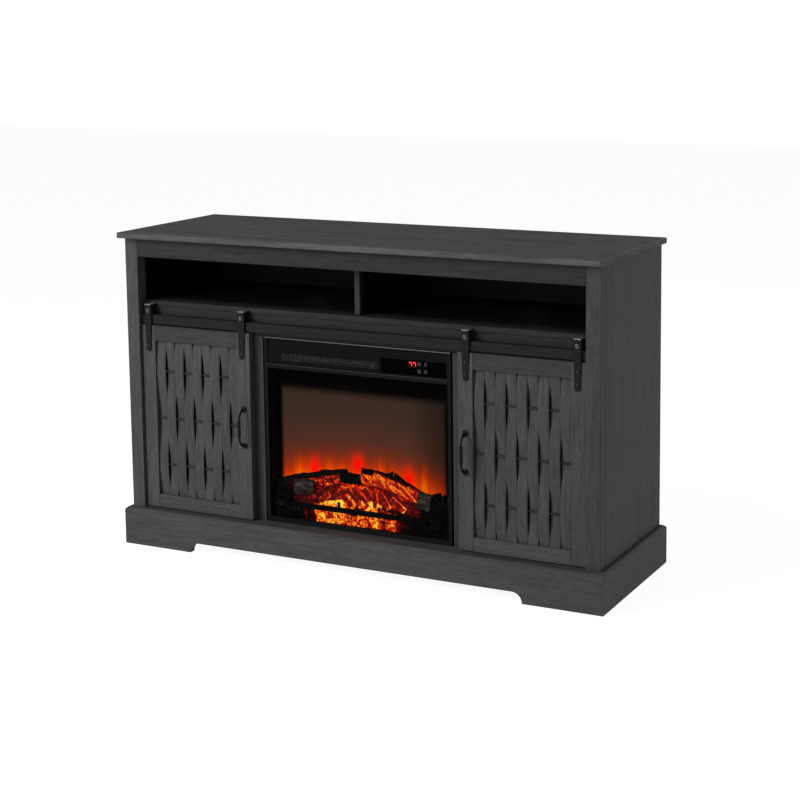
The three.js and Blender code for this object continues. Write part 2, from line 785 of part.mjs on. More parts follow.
// Grille, control panel, display and buttons
function makeControls() {
  const plate = plateBetween(grilleHole, fitGap, bandFront, bandThick);
  const slotPitch = (grilleRight - grilleLeft - grilleWeb) / grilleSlotCount;
  const rowPitchZ = (grilleHeight - grilleWeb) / grilleRows;
  const slots = [];
  for (let row = 0; row < grilleRows; row += 1) {
    for (let i = 0; i < grilleSlotCount; i += 1) {
      const x = grilleLeft + grilleWeb + i * slotPitch;
      const z = grilleBottom + grilleWeb + row * rowPitchZ;
      slots.push(block(x, x + slotPitch - grilleWeb, bandFront - overrun,
        bandFront + bandThick + overrun, z, z + rowPitchZ - grilleWeb));
    }
  }
  add('vent_grille', cut(plate, ...slots), 'bezel');
  const panel = plateBetween(panelHole, fitGap, bandFront, panelThick);
  const windowHole = [displayLeft, displayLeft + displayWidth, displayBottom,
    displayBottom + displayHeight];
  const holes = [plateBetween(windowHole, 0, bandFront - overrun, panelThick + 2 * overrun)];
  const half = buttonSize / 2;
  const names = ['timer', 'power', 'heat', 'flame'];
  names.forEach((name, i) => {
    const x = panelLeft + buttonInset + (i % 2) * buttonPitchX;
    const z = panelBottom + buttonRise + Math.floor(i / 2) * buttonPitchZ;
    holes.push(block(x - half - fitGap, x + half + fitGap, bandFront - overrun,
      bandFront + overrun + panelThick, z - half - fitGap, z + half + fitGap));
    const cap = board(x - half, x + half, bandFront - buttonProud,
      bandFront + panelThick + fitGap + buttonFlangeThick, z - half, z + half);
    const flangeHalf = half + buttonFlange;
    const flangeFront = bandFront + panelThick + fitGap;
    const flange = block(x - flangeHalf, x + flangeHalf, flangeFront,
      flangeFront + buttonFlangeThick, z - flangeHalf, z + flangeHalf);
    add(`${name}_button`, join(cap, flange), 'gloss');
  });
  add('control_panel', cut(panel, ...holes), 'gloss');
  add('display_module', plateBetween(windowHole, fitGap, bandFront + fitGap,
    displayThick), 'display');
}

// One moulded set of embers and logs, and the iron grate in front of it
const emberFront = glassFront + glassThick + emberGlassGap;
const emberBack = screenFront - emberScreenGap;
const emberFloor = shellFloor + fitGap;
// Each log: its two ends as shares of the pile's half width, depth and height, and two radii
// as shares of the pile's height
const logShares = [
  [-0.98, 0.55, 0.52, -0.22, 0.5, 0.86, 0.19, 0.16],
  [-0.78, 0.3, 0.5, -0.02, 0.62, 0.74, 0.15, 0.13],
  [0.02, 0.6, 0.88, 0.76, 0.4, 0.48, 0.15, 0.17],
  [0.3, 0.72, 0.82, 0.98, 0.62, 0.56, 0.13, 0.12],
  [-0.3, 0.3, 0.32, 0.06, 0.42, 0.72, 0.08, 0.07],
  [0.34, 0.28, 0.3, -0.02, 0.36, 0.62, 0.08, 0.07],
  [-0.02, 0.6, 0.9, 0.12, 0.62, 0.94, 0.1, 0.09],
];
const goldenShare = 0.618;

function makeEmbers() {
  const rise = outline([
    [emberFront, emberFloor], [emberBack, emberFloor], [emberBack, emberFloor + emberBackHeight],
    [(emberFront + emberBack) / 2, emberFloor + emberStepHeight],
    [emberFront, emberFloor + emberFrontHeight],
  ]);
  const parts = [sideView(rise, -emberHalf, emberHalf)];
  const run = emberBack - emberFront;
  for (let i = 0; i < coalCount; i += 1) {
    const share = (i * goldenShare) % 1;
    const depthShare = ((i + 1) * goldenShare * goldenShare) % 1;
    const x = (2 * share - 1) * (emberHalf - coalRadius);
    const y = emberFront + coalRadius * logFlattenShare + depthShare * run / 2;
    const z = emberFloor + emberFrontHeight + depthShare * (emberStepHeight - emberFrontHeight);
    const coal = new THREE.IcosahedronGeometry(coalRadius, 0);
    coal.rotateX(i).rotateY(2 * i).scale(coalLongShare, logFlattenShare, 1);
    parts.push(coal.translate(x, y, z));
  }
  for (const shares of logShares) parts.push(makeLog(shares));
  const space = block(-emberHalf, emberHalf, emberFront, emberBack,
    emberFloor, emberFloor + 2 * logPileHeight);
  add('log_and_ember_set', join(...parts).intersect(toSolid(space)), 'ember');
}

function makeLog([xa, ya, za, xb, yb, zb, ra, rb]) {
  const from = logPoint(xa, ya, za);
  const to = logPoint(xb, yb, zb);
  const length = from.distanceTo(to);
  const log = new THREE.CylinderGeometry(rb * logPileHeight, ra * logPileHeight, length,
    logSegments, logRings);
  const spots = log.attributes.position;
  const spot = new THREE.Vector3();
  for (let i = 0; i < spots.count; i += 1) {
    spot.fromBufferAttribute(spots, i);
    const turn = Math.atan2(spot.z, spot.x);
    const along = spot.y / length;
    const swell = 1 + logRoughShare * (Math.sin(logRidges[0] * turn + logTwists[0] * along + xa)
      + Math.sin(logRidges[1] * turn + logTwists[1] * along + zb));
    spots.setXYZ(i, spot.x * swell, spot.y, spot.z * swell);
  }
  const up = new THREE.Vector3(0, 1, 0);
  const turned = new THREE.Quaternion().setFromUnitVectors(up, to.clone().sub(from).normalize());
  log.applyQuaternion(turned).scale(1, logFlattenShare, 1);
  const middle = from.add(to).divideScalar(2);
  return log.translate(middle.x, middle.y, middle.z);
}

function logPoint(x, y, z) {
  return new THREE.Vector3(x * logPileWidth, emberFront + y * (emberBack - emberFront),
    emberFloor + z * logPileHeight);
}

function makeGrate() {
  const front = glassFront + glassThick + grateGlassGap;
  const back = front + grateBarThick;
  const parts = [board(-grateHalfLength, grateHalfLength, front, back, grateBarBottom,
    grateBarBottom + grateBarHeight)];
  for (const [, side] of sides) {
    const peg = side * gratePegX;
    parts.push(block(peg - gratePegWidth / 2, peg + gratePegWidth / 2, front, back,
      grateBarBottom + lap, grateBarBottom + grateBarHeight + gratePegHeight));
    const leg = side * grateLegX;
    parts.push(block(leg - grateLegWidth / 2, leg + grateLegWidth / 2, front, back,
      glassBottom + fitGap, grateBarBottom + lap));
  }
  add('log_grate', join(...parts), 'iron');
}

// Spinner that throws the flame light, with its motor
function makeSpinner() {
  const y = bezelFront + spinnerSetback;
  const motorLeft = shellInner - fitGap - motorLength;
  const left = -shellInner + fitGap;
  const right = motorLeft - fitGap;
  const parts = [rodX(left, right, y, spinnerHeight, spinnerShaftRadius, smallSides)];
  const pitch = (right - left) / spinnerFlagCount;
  for (let i = 0; i < spinnerFlagCount; i += 1) {
    const x = left + (i + 1 / 2) * pitch;
    const flag = block(x - spinnerFlagWidth / 2, x + spinnerFlagWidth / 2, -spinnerRadius,
      spinnerRadius, -spinnerFlagThick / 2, spinnerFlagThick / 2);
    parts.push(flag.rotateX(i * Math.PI * goldenShare).translate(0, y, spinnerHeight));
  }
  add('flame_spinner', join(...parts), 'zinc');
  add('spinner_motor', rodX(motorLeft, motorLeft + motorLength, y, spinnerHeight, motorRadius,
    roundSides), 'zinc');
}

// Blower drum, its motor and the heating element
function makeHeater() {
  const y = bezelFront + blowerSetback;
  const motorLeft = blowerRight + fitGap + blowerDisc;
  const parts = [
    rodX(-shellInner + fitGap, motorLeft - fitGap, y, blowerHeight, blowerShaftRadius, smallSides),
  ];
  for (const x of [blowerLeft, (blowerLeft + blowerRight) / 2, blowerRight - blowerDisc]) {
    parts.push(rodX(x, x + blowerDisc, y, blowerHeight, blowerRadius, roundSides));
  }
  for (let i = 0; i < blowerBladeCount; i += 1) {
    const blade = block(blowerLeft, blowerRight, blowerInnerRadius, blowerRadius - lap,
      -blowerBladeThick / 2, blowerBladeThick / 2);
    parts.push(blade.rotateX(2 * Math.PI * i / blowerBladeCount).translate(0, y, blowerHeight));
  }
  add('blower_wheel', join(...parts), 'zinc');
  const motorRight = motorLeft + blowerMotorLength;
  const motor = rodX(motorLeft, motorRight, y, blowerHeight, blowerMotorRadius, roundSides);
  const foot = block(motorLeft, motorRight, y - blowerMotorFoot / 2, y + blowerMotorFoot / 2,
    heaterDeckTop, blowerHeight);
  add('blower_motor', join(motor, foot), 'zinc');
  makeElement();
}

function makeElement() {
  const front = bezelFront + elementSetback;
  const back = front + elementThick;
  const frame = rectangle(blowerLeft, blowerRight, elementBottom, elementTop);
  frame.holes.push(new THREE.Path(rectangle(blowerLeft + elementFrame, blowerRight - elementFrame,
    elementBottom + elementFrame, elementTop - elementFrame).getPoints()));
  const parts = [frontView(frame, front, back)];
  const pitch = (blowerRight - blowerLeft) / (elementFins + 1);
  for (let i = 1; i <= elementFins; i += 1) {
    const x = blowerLeft + i * pitch;
    parts.push(block(x - elementFinThick / 2, x + elementFinThick / 2, front + lap, back - lap,
      elementBottom + lap, elementTop - lap));
  }
  for (const x of [blowerLeft, blowerRight - elementFootWidth]) {
    parts.push(block(x, x + elementFootWidth, front, back, heaterDeckTop,
      elementBottom + lap));
  }
  add('heating_element', join(...parts), 'zinc');
}

makeCarcass();
makeBottomPanel();
makeBackPanel();
makePlinth();
makeRail();
for (const [name, side] of sides) {
  makeDoor(name, side);
  makeHanger(`${name}_inner`, side * (doorInner + hangerInset));
  makeHanger(`${name}_outer`, side * (doorOuter - hangerInset));
  makeWheel(`${name}_inner`, side * (doorInner + hangerInset));
  makeWheel(`${name}_outer`, side * (doorOuter - hangerInset));
}
makeBezel();
makeShell();
makeGland();
makeControls();
makeEmbers();
makeGrate();
makeSpinner();
makeHeater();

export default fireplaceConsole;
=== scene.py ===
# Dresses the fireplace console: charcoal wood, woven doors, dark iron fittings and a lit firebox.
# Lengths are metres unless a name says otherwise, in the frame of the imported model.
import math

import bmesh
import bpy
from mathutils import Euler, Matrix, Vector, noise


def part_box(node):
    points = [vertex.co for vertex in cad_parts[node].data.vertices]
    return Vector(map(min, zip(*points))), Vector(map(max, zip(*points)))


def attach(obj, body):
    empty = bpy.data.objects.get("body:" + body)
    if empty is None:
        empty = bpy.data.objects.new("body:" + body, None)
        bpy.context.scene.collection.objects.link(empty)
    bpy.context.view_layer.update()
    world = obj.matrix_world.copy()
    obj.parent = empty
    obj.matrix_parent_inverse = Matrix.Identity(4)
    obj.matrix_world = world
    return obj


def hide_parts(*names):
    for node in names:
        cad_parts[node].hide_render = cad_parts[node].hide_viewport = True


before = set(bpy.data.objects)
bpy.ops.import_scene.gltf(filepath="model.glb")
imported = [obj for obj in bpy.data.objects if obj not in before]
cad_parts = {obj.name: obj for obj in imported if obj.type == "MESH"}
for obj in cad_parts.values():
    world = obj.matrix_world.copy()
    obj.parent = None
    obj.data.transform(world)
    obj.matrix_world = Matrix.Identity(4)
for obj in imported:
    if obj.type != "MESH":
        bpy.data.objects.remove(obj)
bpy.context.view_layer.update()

MM = 0.001
CABINET = "cabinet"
SIDES = ("left", "right")
WHITE = (1, 1, 1, 1)

# Camera, for the photograph's 800 by 800 frame
CAMERA_PLACE = (2.1124, -3.8887, 1.4118)
CAMERA_TURN_DEG = (82.39, 0.498, 26.287)
CAMERA_LENS_MM = 77.49
CAMERA_SHIFT = (-50 / 800, -155 / 800)

# Light
SKY_STRENGTH = 0.25
FLOOR_REACH = 14.0
FLOOR_GLOW = 1.16
FLOOR_GLOW_SHARE = 0.8
STUDIO_LAMPS = {
    # name: (place, aimed at, size, watts)
    "key": ((-2.3, -3.4, 2.6), (0, 0, 0.45), 1.7, 142),
    "front": ((-1.0, -4.4, 1.0), (0, 0, 0.35), 2.6, 40),
    "side": ((3.6, -1.6, 1.4), (0.5, 0, 0.4), 2.0, 3),
    "back": ((1.3, 3.8, 2.0), (0, 0, 0.5), 2.4, 40),
}


def linear(red, green, blue):
    """A colour given from 0 to 255 as it looks on a screen, as the shader wants it."""
    parts = []
    for part in (red, green, blue):
        part /= 255
        parts.append(part / 12.92 if part <= 0.04045 else ((part + 0.055) / 1.055) ** 2.4)
    return (*parts, 1.0)


def tinted(base, share):
    return linear(*[part * share for part in base])


# Node graphs


def both_ways(operation):
    """A sum of a link and a value, and the same with the value first."""
    return (
        lambda link, value: link.graph.math(operation, link, value),
        lambda link, value: link.graph.math(operation, value, link),
    )


class Link:
    """A socket that sums are written on."""

    def __init__(self, graph, socket):
        self.graph = graph
        self.socket = socket

    def other(self, name):
        """Another output of the same node."""
        return Link(self.graph, self.socket.node.outputs[name])

    __add__, __radd__ = both_ways("ADD")
    __sub__, __rsub__ = both_ways("SUBTRACT")
    __mul__, __rmul__ = both_ways("MULTIPLY")
    __truediv__, __rtruediv__ = both_ways("DIVIDE")
    __pow__, __rpow__ = both_ways("POWER")


class Graph:
    """Builds a shader or geometry tree from Python expressions."""

    def __init__(self, tree):
        self.tree = tree

    def node(self, kind, inputs=None, out=0, **settings):
        """A node with its settings and the values or links of its inputs."""
        made = self.tree.nodes.new(kind)
        for name, value in settings.items():
            setattr(made, name, value)
        for key, value in (inputs or {}).items():
            self.feed(made.inputs[key], value)
        return Link(self, made.outputs[out])

    def feed(self, socket, value):
        if isinstance(value, Link):
            self.tree.links.new(value.socket, socket)
        else:
            socket.default_value = value

    def show(self, result, kind="ShaderNodeOutputMaterial"):
        self.feed(self.tree.nodes.new(kind).inputs[0], result)

    def math(self, operation, *values):
        return self.node("ShaderNodeMath", dict(enumerate(values)), operation=operation)

    def vector_math(self, operation, first, second):
        """The second value is a number where the operation is SCALE."""
        key = "Scale" if operation == "SCALE" else 1
        return self.node("ShaderNodeVectorMath", {0: first, key: second}, operation=operation)

    def vector(self, x=0.0, y=0.0, z=0.0):
        return self.node("ShaderNodeCombineXYZ", {0: x, 1: y, 2: z})

    def parts(self, vector):
        split = self.node("ShaderNodeSeparateXYZ", {0: vector})
        return [split.other(axis) for axis in "XYZ"]

    def clamp(self, value, low=0.0, high=1.0):
        return self.node("ShaderNodeClamp", {0: value, 1: low, 2: high})

    def step(self, value, low, high):
        """0 below low and 1 above high, smooth between them."""
        inputs = {0: value, 1: low, 2: high, 3: 0.0, 4: 1.0}
        return self.node("ShaderNodeMapRange", inputs, interpolation_type="SMOOTHSTEP")

    def within(self, value, middle, full, gone):
        """1 up to full from the middle and 0 from gone, on both sides of it."""
        return 1 - self.step(self.math("ABSOLUTE", value - middle), full, gone)

    def bell(self, value, middle, width):
        """A hump of height 1 at the middle."""
        off = (value - middle) / width
        return self.math("EXPONENT", -1 * (off * off))

    def fading(self, value, length):
        """1 at 0, less by the same share over each such length."""
        return self.math("EXPONENT", -1 * value / length)

    def blend(self, share, first, second):
        """Colour that goes from first to second as share goes from 0 to 1."""
        inputs = {0: share, 6: first, 7: second}
        return self.node("ShaderNodeMix", inputs, 2, data_type="RGBA")

    def ramp(self, stops, value):
        """The colour at a value between stops, which are places and the shader's colours."""
        made = self.node("ShaderNodeValToRGB", {0: value})
        elements = made.socket.node.color_ramp.elements
        while len(elements) < len(stops):
            elements.new(1.0)
        for element, (place, colour) in zip(elements, stops):
            element.position = place
            element.color = colour
        return made

    def object_place(self):
        return self.node("ShaderNodeTexCoord", out=3)

    def place(self, scale=(1, 1, 1), shift=(0, 0, 0), turn=(0, 0, 0)):
        inputs = {0: self.object_place(), 1: shift, 2: turn, 3: scale}
        return self.node("ShaderNodeMapping", inputs)

    def axes(self):
        return self.parts(self.object_place())

    def noise(self, place, scale=1.0, detail=2.0, rough=0.5, warp=0.0, out=0):
        inputs = {"Vector": place, "Scale": scale, "Detail": detail, "Roughness": rough}
        return self.node("ShaderNodeTexNoise", {**inputs, "Distortion": warp}, out)

    def cloud(self, *sizes):
        """Noise of the same size along all axes: its scale, detail, roughness and warp."""
        return self.noise(self.place(), *sizes)

    def bump(self, height, strength, distance):
        inputs = {"Height": height, "Strength": strength, "Distance": distance}
        return self.node("ShaderNodeBump", inputs)


def fresh_graph(owner):
    owner.use_nodes = True
    owner.node_tree.nodes.clear()
    return Graph(owner.node_tree)


def material(name, build, shine=0.5, **constants):
    """A Principled material. build(graph) returns the sockets that change over the surface."""
    made = bpy.data.materials.new(name)
    graph = fresh_graph(made)
    values = {key.replace("_", " "): value for key, value in constants.items()}
    values["Specular IOR Level"] = shine
    values.update(build(graph))
    graph.show(graph.node("ShaderNodeBsdfPrincipled", values))
    return made


def look(colour, rough, normal=None, glow=None):
    """The sockets that change over a surface."""
    sockets = {"Base Color": colour, "Roughness": rough, "Normal": normal, "Emission Color": glow}
    return {name: value for name, value in sockets.items() if value is not None}


# Finishes, by a short name

FINISH = {}


def finish(key, name, shine=0.5, **constants):
    """Makes the material that the decorated function describes, and enters it in FINISH."""

    def enter(build):
        FINISH[key] = material(name, build, shine, **constants)
        return build

    return enter


WOOD_TONES = ((52, 52, 52), (67, 67, 67), (80, 80, 80), (40, 40, 40))
GRAIN_STRETCH = {"x": (1, 12, 12), "y": (12, 1, 12), "z": (12, 12, 1)}
# Painted shade: the near black that everything facing the inside of the cabinet is painted
INSIDE_PAINTED_SHADE = linear(7, 7, 7)
INSIDE_HALF_WIDTH = 662.4 * MM
INSIDE_TOP = 834.4 * MM
INSIDE_BOTTOM = 99.6 * MM
SHELF_TOP = 665.5 * MM
# Where the painted shade of the inside starts and where it is full, from front to back
INSIDE_SHADE_DEPTHS = (-168 * MM, -128 * MM)
SHELF_SHADE_DEPTHS = (-150 * MM, -96 * MM)


def painted_inside_shade(graph, dark_from, dark_by):
    """1 on what faces the inside of the cabinet, where the colour is painted near black: painted
    shade.
    """
    x, y, z = graph.axes()
    share = graph.step(y, dark_from, dark_by)
    share = share * graph.math("LESS_THAN", graph.math("ABSOLUTE", x), INSIDE_HALF_WIDTH)
    share = share * graph.math("LESS_THAN", z, INSIDE_TOP)
    return share * graph.math("GREATER_THAN", z, INSIDE_BOTTOM)


def wood(name, along, shift=(0, 0, 0), shade=1.0, bands=0.5, painted_edge_shade=None, inside=INSIDE_SHADE_DEPTHS):
    """Charcoal stain over a fine straight grain. A shade above 1 paints light into the coat's
    colour, and a shade below 1 paints shade into it.

    With an edge shade, the shelf's front edge is painted at that share of the colour on its top:
    painted shade.
    """
    # The shade paints light or shade into every tone of the coat
    dark, mid, light, pore = [
        (*[part * shade for part in linear(*tone)[:3]], 1.0) for tone in WOOD_TONES
    ]

    def build(graph):
        def grain(fineness, **kind):
            scale = [part * fineness for part in GRAIN_STRETCH[along]]
            return graph.noise(graph.place(scale, shift), **kind)

        broad = grain(1.1, detail=3, warp=0.5)
        figure = grain(9, detail=5, rough=0.62, warp=0.3)
        streak = grain(38, detail=4, rough=0.65)
        pores = graph.step(grain(110), 0.56, 0.72)
        band = grain(3.4, detail=3, rough=0.6, warp=0.4)
        tone = 0.5 + 0.5 * (broad - 0.5) + bands * (band - 0.5)
        tone = graph.clamp(tone + 1.3 * (figure - 0.5) + 1.7 * (streak - 0.5))
        colour = graph.ramp([(0.0, dark), (0.5, mid), (1.0, light)], tone)
        colour = graph.blend(pores * 0.4, colour, pore)
        # Painted shade: the shelf's front edge is darker than its top
        if painted_edge_shade:
            edge = 1 - graph.step(graph.axes()[2], SHELF_TOP - 0.5 * MM, SHELF_TOP)
            colour = graph.blend((1 - painted_edge_shade) * edge, colour, linear(0, 0, 0))
        # Painted shade: near black on everything that faces the inside of the cabinet
        colour = graph.blend(painted_inside_shade(graph, *inside), colour, INSIDE_PAINTED_SHADE)
        height = 0.4 * figure + 0.5 * streak - 0.5 * pores
        rough = 0.56 + 0.16 * (streak - 0.5) + 0.1 * pores
        return look(colour, rough, graph.bump(height, 0.3, 0.3 * MM))

    return material(name, build, 0.1)


def dark_iron(name, base, rough, metal, shine=0.25):
    def build(graph):
        cloud, grit = graph.cloud(60, 3), graph.cloud(900)
        tone = graph.clamp(0.3 + 0.9 * (cloud - 0.3))
        return look(
            graph.blend(tone, tinted(base, 0.75), tinted(base, 1.35)),
            rough + 0.22 * (cloud - 0.5) + 0.1 * (grit - 0.5),
            graph.bump(grit + 0.6 * cloud, 0.25, 0.15 * MM),
        )

    return material(name, build, shine, Metallic=metal)


def plain_coat(name, base, rough, metal=0.0, shine=0.5, grit_size=500):
    """A sprayed or moulded finish with a fine tooth."""

    def build(graph):
        cloud, grit = graph.cloud(9, 3), graph.cloud(grit_size)
        return look(
            graph.blend(cloud, tinted(base, 0.88), tinted(base, 1.12)),
            rough + 0.1 * (cloud - 0.5) + 0.06 * (grit - 0.5),
            graph.bump(grit, 0.12, 0.1 * MM),
        )

    return material(name, build, shine, Metallic=metal)


@finish("mesh", "grille_mesh", 0.1)
def mesh_with_painted_glints(graph):
    """A painted mesh, with painted highlights in patches where it would catch the light."""
    patch = graph.cloud(190, 3, 0.7)
    share = graph.clamp(graph.step(patch, 0.4, 0.62) * (0.35 + graph.cloud(14)))
    return look(
        graph.blend(share, linear(16, 16, 16), linear(58, 58, 58)),
        0.55 + 0.2 * (patch - 0.5),
        graph.bump(patch, 0.2, 0.1 * MM),
    )


@finish("back", "dark_hardboard", 0.25)
def hardboard(graph):
    fibre = graph.noise(graph.place((1, 1, 0.5)), 420, 4, 0.7)
    tone = graph.clamp(0.5 + 0.9 * (fibre - 0.5) + 0.7 * (graph.cloud(5, 3) - 0.5))
    colour = graph.blend(tone, linear(30, 30, 31), linear(50, 50, 52))
    # Painted shade: near black where the back board faces the inside of the cabinet
    colour = graph.blend(painted_inside_shade(graph, *INSIDE_SHADE_DEPTHS), colour, INSIDE_PAINTED_SHADE)
    return look(colour, 0.72 + 0.2 * (fibre - 0.5), graph.bump(fibre, 0.3, 0.2 * MM))


BARE_METAL = (150, 151, 154)


@finish("zinc", "bare_sheet_metal", Metallic=1.0)
def brushed(graph):
    lines = graph.noise(graph.place((1, 60, 60)), 18, 3, 0.6)
    return look(
        graph.blend(lines, tinted(BARE_METAL, 0.85), linear(*BARE_METAL)),
        0.35 + 0.2 * (lines - 0.5) + 0.1 * (graph.cloud(30) - 0.5),
        graph.bump(lines, 0.15, 0.1 * MM),
    )


BEZEL_RIM_FROM = 262 * MM
BEZEL_SILL = 113 * MM


@finish("bezel", "black_enamel", 0.025)
def bezel_enamel(graph):
    """Black enamel, a shade lighter on the outer frame than on the band."""
    x, _, z = graph.axes()
    rim = graph.step(graph.math("ABSOLUTE", x), BEZEL_RIM_FROM - 1 * MM, BEZEL_RIM_FROM)
    sill = 1 - graph.step(z, BEZEL_SILL - 1 * MM, BEZEL_SILL)
    cloud, grit = graph.cloud(9, 3), graph.cloud(500)
    frame_share = graph.math("MAXIMUM", rim, sill)
    colour = graph.blend(frame_share, linear(15, 15, 15), linear(24, 24, 24))
    return look(
        graph.blend(cloud * 0.3, colour, linear(10, 10, 10)),
        0.5 + 0.1 * (cloud - 0.5) + 0.08 * (grit - 0.5),
        graph.bump(grit, 0.15, 0.1 * MM),
    )


@finish("glass", "smoked_glass", 0.03, Alpha=0.03)
def tinted_glass(graph):
    return look(linear(2, 2, 2), 0.03 + 0.03 * (graph.cloud(8, 3) - 0.5))


def lit_sign(name, colour, strength):
    def build(graph):
        rough = 0.4 + 0.1 * (graph.cloud(300) - 0.5)
        return look(linear(30, 8, 8), rough, glow=linear(*colour))

    return material(name, build, Emission_Strength=strength)


# Fire: the light on the screen, the glow in the logs and the bed of embers

SCREEN_LEFT = -252 * MM
SCREEN_RIGHT = 236 * MM
SCREEN_TOP = 462 * MM
SCREEN_SOFT_EDGE = 14 * MM
DIMMER_FROM = 110 * MM
DIMMER_BY = 0.42
FLAME_FOOT = 243 * MM
FOOT_SAG = 0.55
FLAME_FADE = 34 * MM
HAZE_FADE = 110 * MM
# Of each tongue of flame: x, reach above the foot and width, in millimetres, and strength
FLAME_TONGUES = (
    (-194, 40, 15, 0.95),
    (-158, 34, 16, 0.6),
    (-103, 34, 13, 0.7),
    (-70, 28, 10, 0.45),
    (-22, 44, 14, 0.55),
    (45, 34, 14, 0.75),
    (84, 26, 14, 0.5),
    (126, 36, 16, 0.6),
    (172, 46, 10, 0.85),
)
FLAME_STOPS = (
    (0.0, linear(48, 41, 34)),
    (0.03, linear(69, 45, 36)),
    (0.06, linear(83, 45, 33)),
    (0.13, linear(122, 44, 24)),
    (0.26, linear(176, 50, 8)),
    (0.45, linear(226, 70, 2)),
    (0.7, linear(255, 112, 2)),
    (1.0, linear(255, 156, 24)),
)
RED_SPOTS = ((-150 * MM, 246 * MM), (-22 * MM, 264 * MM), (126 * MM, 243 * MM))
RED_SPOT_SIZE = (17 * MM, 24 * MM)


@finish("screen", "flame_light", 0.0, Emission_Strength=1.0)
def flame_screen(graph):
    x, _, z = graph.axes()
    wisps = graph.noise(graph.place((150, 1, 4)), 1, 4, 0.62, 0.3)
    swayed = x + (graph.cloud(22) - 0.5) * (10 * MM)
    height = graph.math("MAXIMUM", z - FLAME_FOOT + FOOT_SAG * x * x, 0)
    glow = 0.34 * graph.fading(height, FLAME_FADE) * (0.25 + 1.5 * wisps)
    glow = glow + 0.07 * graph.fading(height, HAZE_FADE)
    for middle, reach, width, strength in FLAME_TONGUES:
        tongue = graph.bell(swayed, middle * MM, width * MM) * graph.bell(height, 0, reach * MM)
        glow = glow + strength * 0.31 * tongue * (0.2 + 1.6 * wisps)
    colour = graph.ramp(FLAME_STOPS, graph.clamp(glow))
    for spot_x, spot_z in RED_SPOTS:
        spot = graph.bell(swayed, spot_x, RED_SPOT_SIZE[0])
        spot = spot * graph.bell(z, spot_z, RED_SPOT_SIZE[1])
        colour = graph.blend(graph.clamp(spot * 1.1), colour, linear(255, 14, 6))
    left = graph.step(x, SCREEN_LEFT, SCREEN_LEFT + SCREEN_SOFT_EDGE)
    right = 1 - graph.step(x, SCREEN_RIGHT - SCREEN_SOFT_EDGE, SCREEN_RIGHT)
    right = right * (1 - DIMMER_BY * graph.step(x, DIMMER_FROM, SCREEN_RIGHT))
    top = 1 - graph.step(z, SCREEN_TOP - 26 * MM, SCREEN_TOP + 2 * MM)
    olive = graph.step(x, 0.5 * SCREEN_RIGHT, SCREEN_RIGHT)
    olive = olive * graph.step(height, 20 * MM, 90 * MM)
    colour = graph.blend(olive * 0.5, colour, linear(44, 36, 24))
    mottle = graph.cloud(30)
    lit_share = left * right * top * (0.92 + 0.16 * mottle)
    lit = graph.blend(lit_share, linear(1, 1, 1), colour)
    return look(linear(6, 5, 4), 0.7 + 0.1 * (mottle - 0.5), glow=lit)


# Where the embers are hot, where they are dim and where the logs glow: x of the middle, half the
# width of the full part and half the width where it ends
EMBER_HOT = (-13 * MM, 110 * MM, 137 * MM)
EMBER_DIM = (-34 * MM, 146 * MM, 172 * MM)
LOG_LIT = (-13 * MM, 150 * MM, 206 * MM)
# x of the middle and half the width of the hottest embers, and of the logs behind the sticks
HOTTEST = (-74 * MM, 50 * MM)
BEHIND_STICKS = (-14 * MM, 54 * MM)
FOOT_HEIGHT = 168 * MM
LOG_HOTTEST = 0.75
EMBER_STOPS = (
    (0.0, linear(3, 1, 1)),
    (0.14, linear(52, 3, 3)),
    (0.32, linear(122, 10, 7)),
    (0.5, linear(204, 34, 10)),
    (0.68, linear(250, 92, 20)),
    (0.84, linear(255, 170, 32)),
    (1.0, linear(255, 216, 72)),
)


def jittered(graph, place, fineness, reach):
    """The place, pushed about so that no pattern on it has straight lines."""
    push = graph.noise(place, fineness, out=1)
    push = graph.vector_math("SUBTRACT", push, (0.5, 0.5, 0.5))
    return graph.vector_math("ADD", place, graph.vector_math("SCALE", push, reach))


def glowing_log(name, axis, grain, heat, lit, hot, base, behind_sticks=0.0):
    """Moulded bark lit from inside: streaks along the log, in blotches.

    axis: height of the log's middle at x = 0, and its slope. grain: length, width and slope of
    a streak. lit: the lowest and highest line that glow, from the axis. These are in millimetres.
    hot: share of bright streaks. base: heat of the bark between them. behind_sticks: how much
    hotter it is there.
    """
    middle, slope = axis
    long, wide, grain_slope = grain
    low, high = [line * MM for line in lit]

    def build(graph):
        x, _, z = graph.axes()
        scale = (1 / (long * MM), 1 / (wide * MM), 1 / (wide * MM))
        turned = graph.place(turn=(0, math.atan(grain_slope), 0))
        place = graph.node("ShaderNodeMapping", {0: turned, 3: scale})
        fibre = graph.noise(jittered(graph, place, 1.2, 0.7), 1.0, 3, 0.62)
        blotch = graph.cloud(46, 3, 0.6, 0.4)
        speck = graph.cloud(140, 3, 0.66)
        up = z - (middle * MM + slope * x)
        band = graph.step(up, low - 6 * MM, low + 4 * MM)
        band = band * (1 - graph.step(up, high - 7 * MM, high + 3 * MM))
        glow = graph.step(fibre, 0.4, 0.62) * graph.step(blotch, 0.38, 0.6)
        bright_from = 0.56 - 0.24 * hot
        bright = graph.step(fibre, 0.5, 0.62) * graph.step(blotch, bright_from, bright_from + 0.1)
        warmth = base * (0.5 + fibre) + 0.24 * glow + (0.16 + 0.2 * hot) * bright
        warmth = warmth + 1.5 * (glow + base) * (speck - 0.5)
        warmth = warmth + behind_sticks * graph.bell(x, *BEHIND_STICKS) * (0.4 + glow)
        warmth = heat * warmth * band * graph.within(x, *LOG_LIT)
        return look(
            graph.blend(graph.step(speck, 0.5, 0.7), linear(3, 2, 2), linear(22, 17, 16)),
            0.85 + 0.2 * (fibre - 0.5),
            graph.bump(fibre + 0.5 * speck, 0.9, 1.6 * MM),
            graph.ramp(EMBER_STOPS, graph.clamp(warmth, 0.0, LOG_HOTTEST)),
        )

    return material(name, build, 0.05, Emission_Strength=1.0)


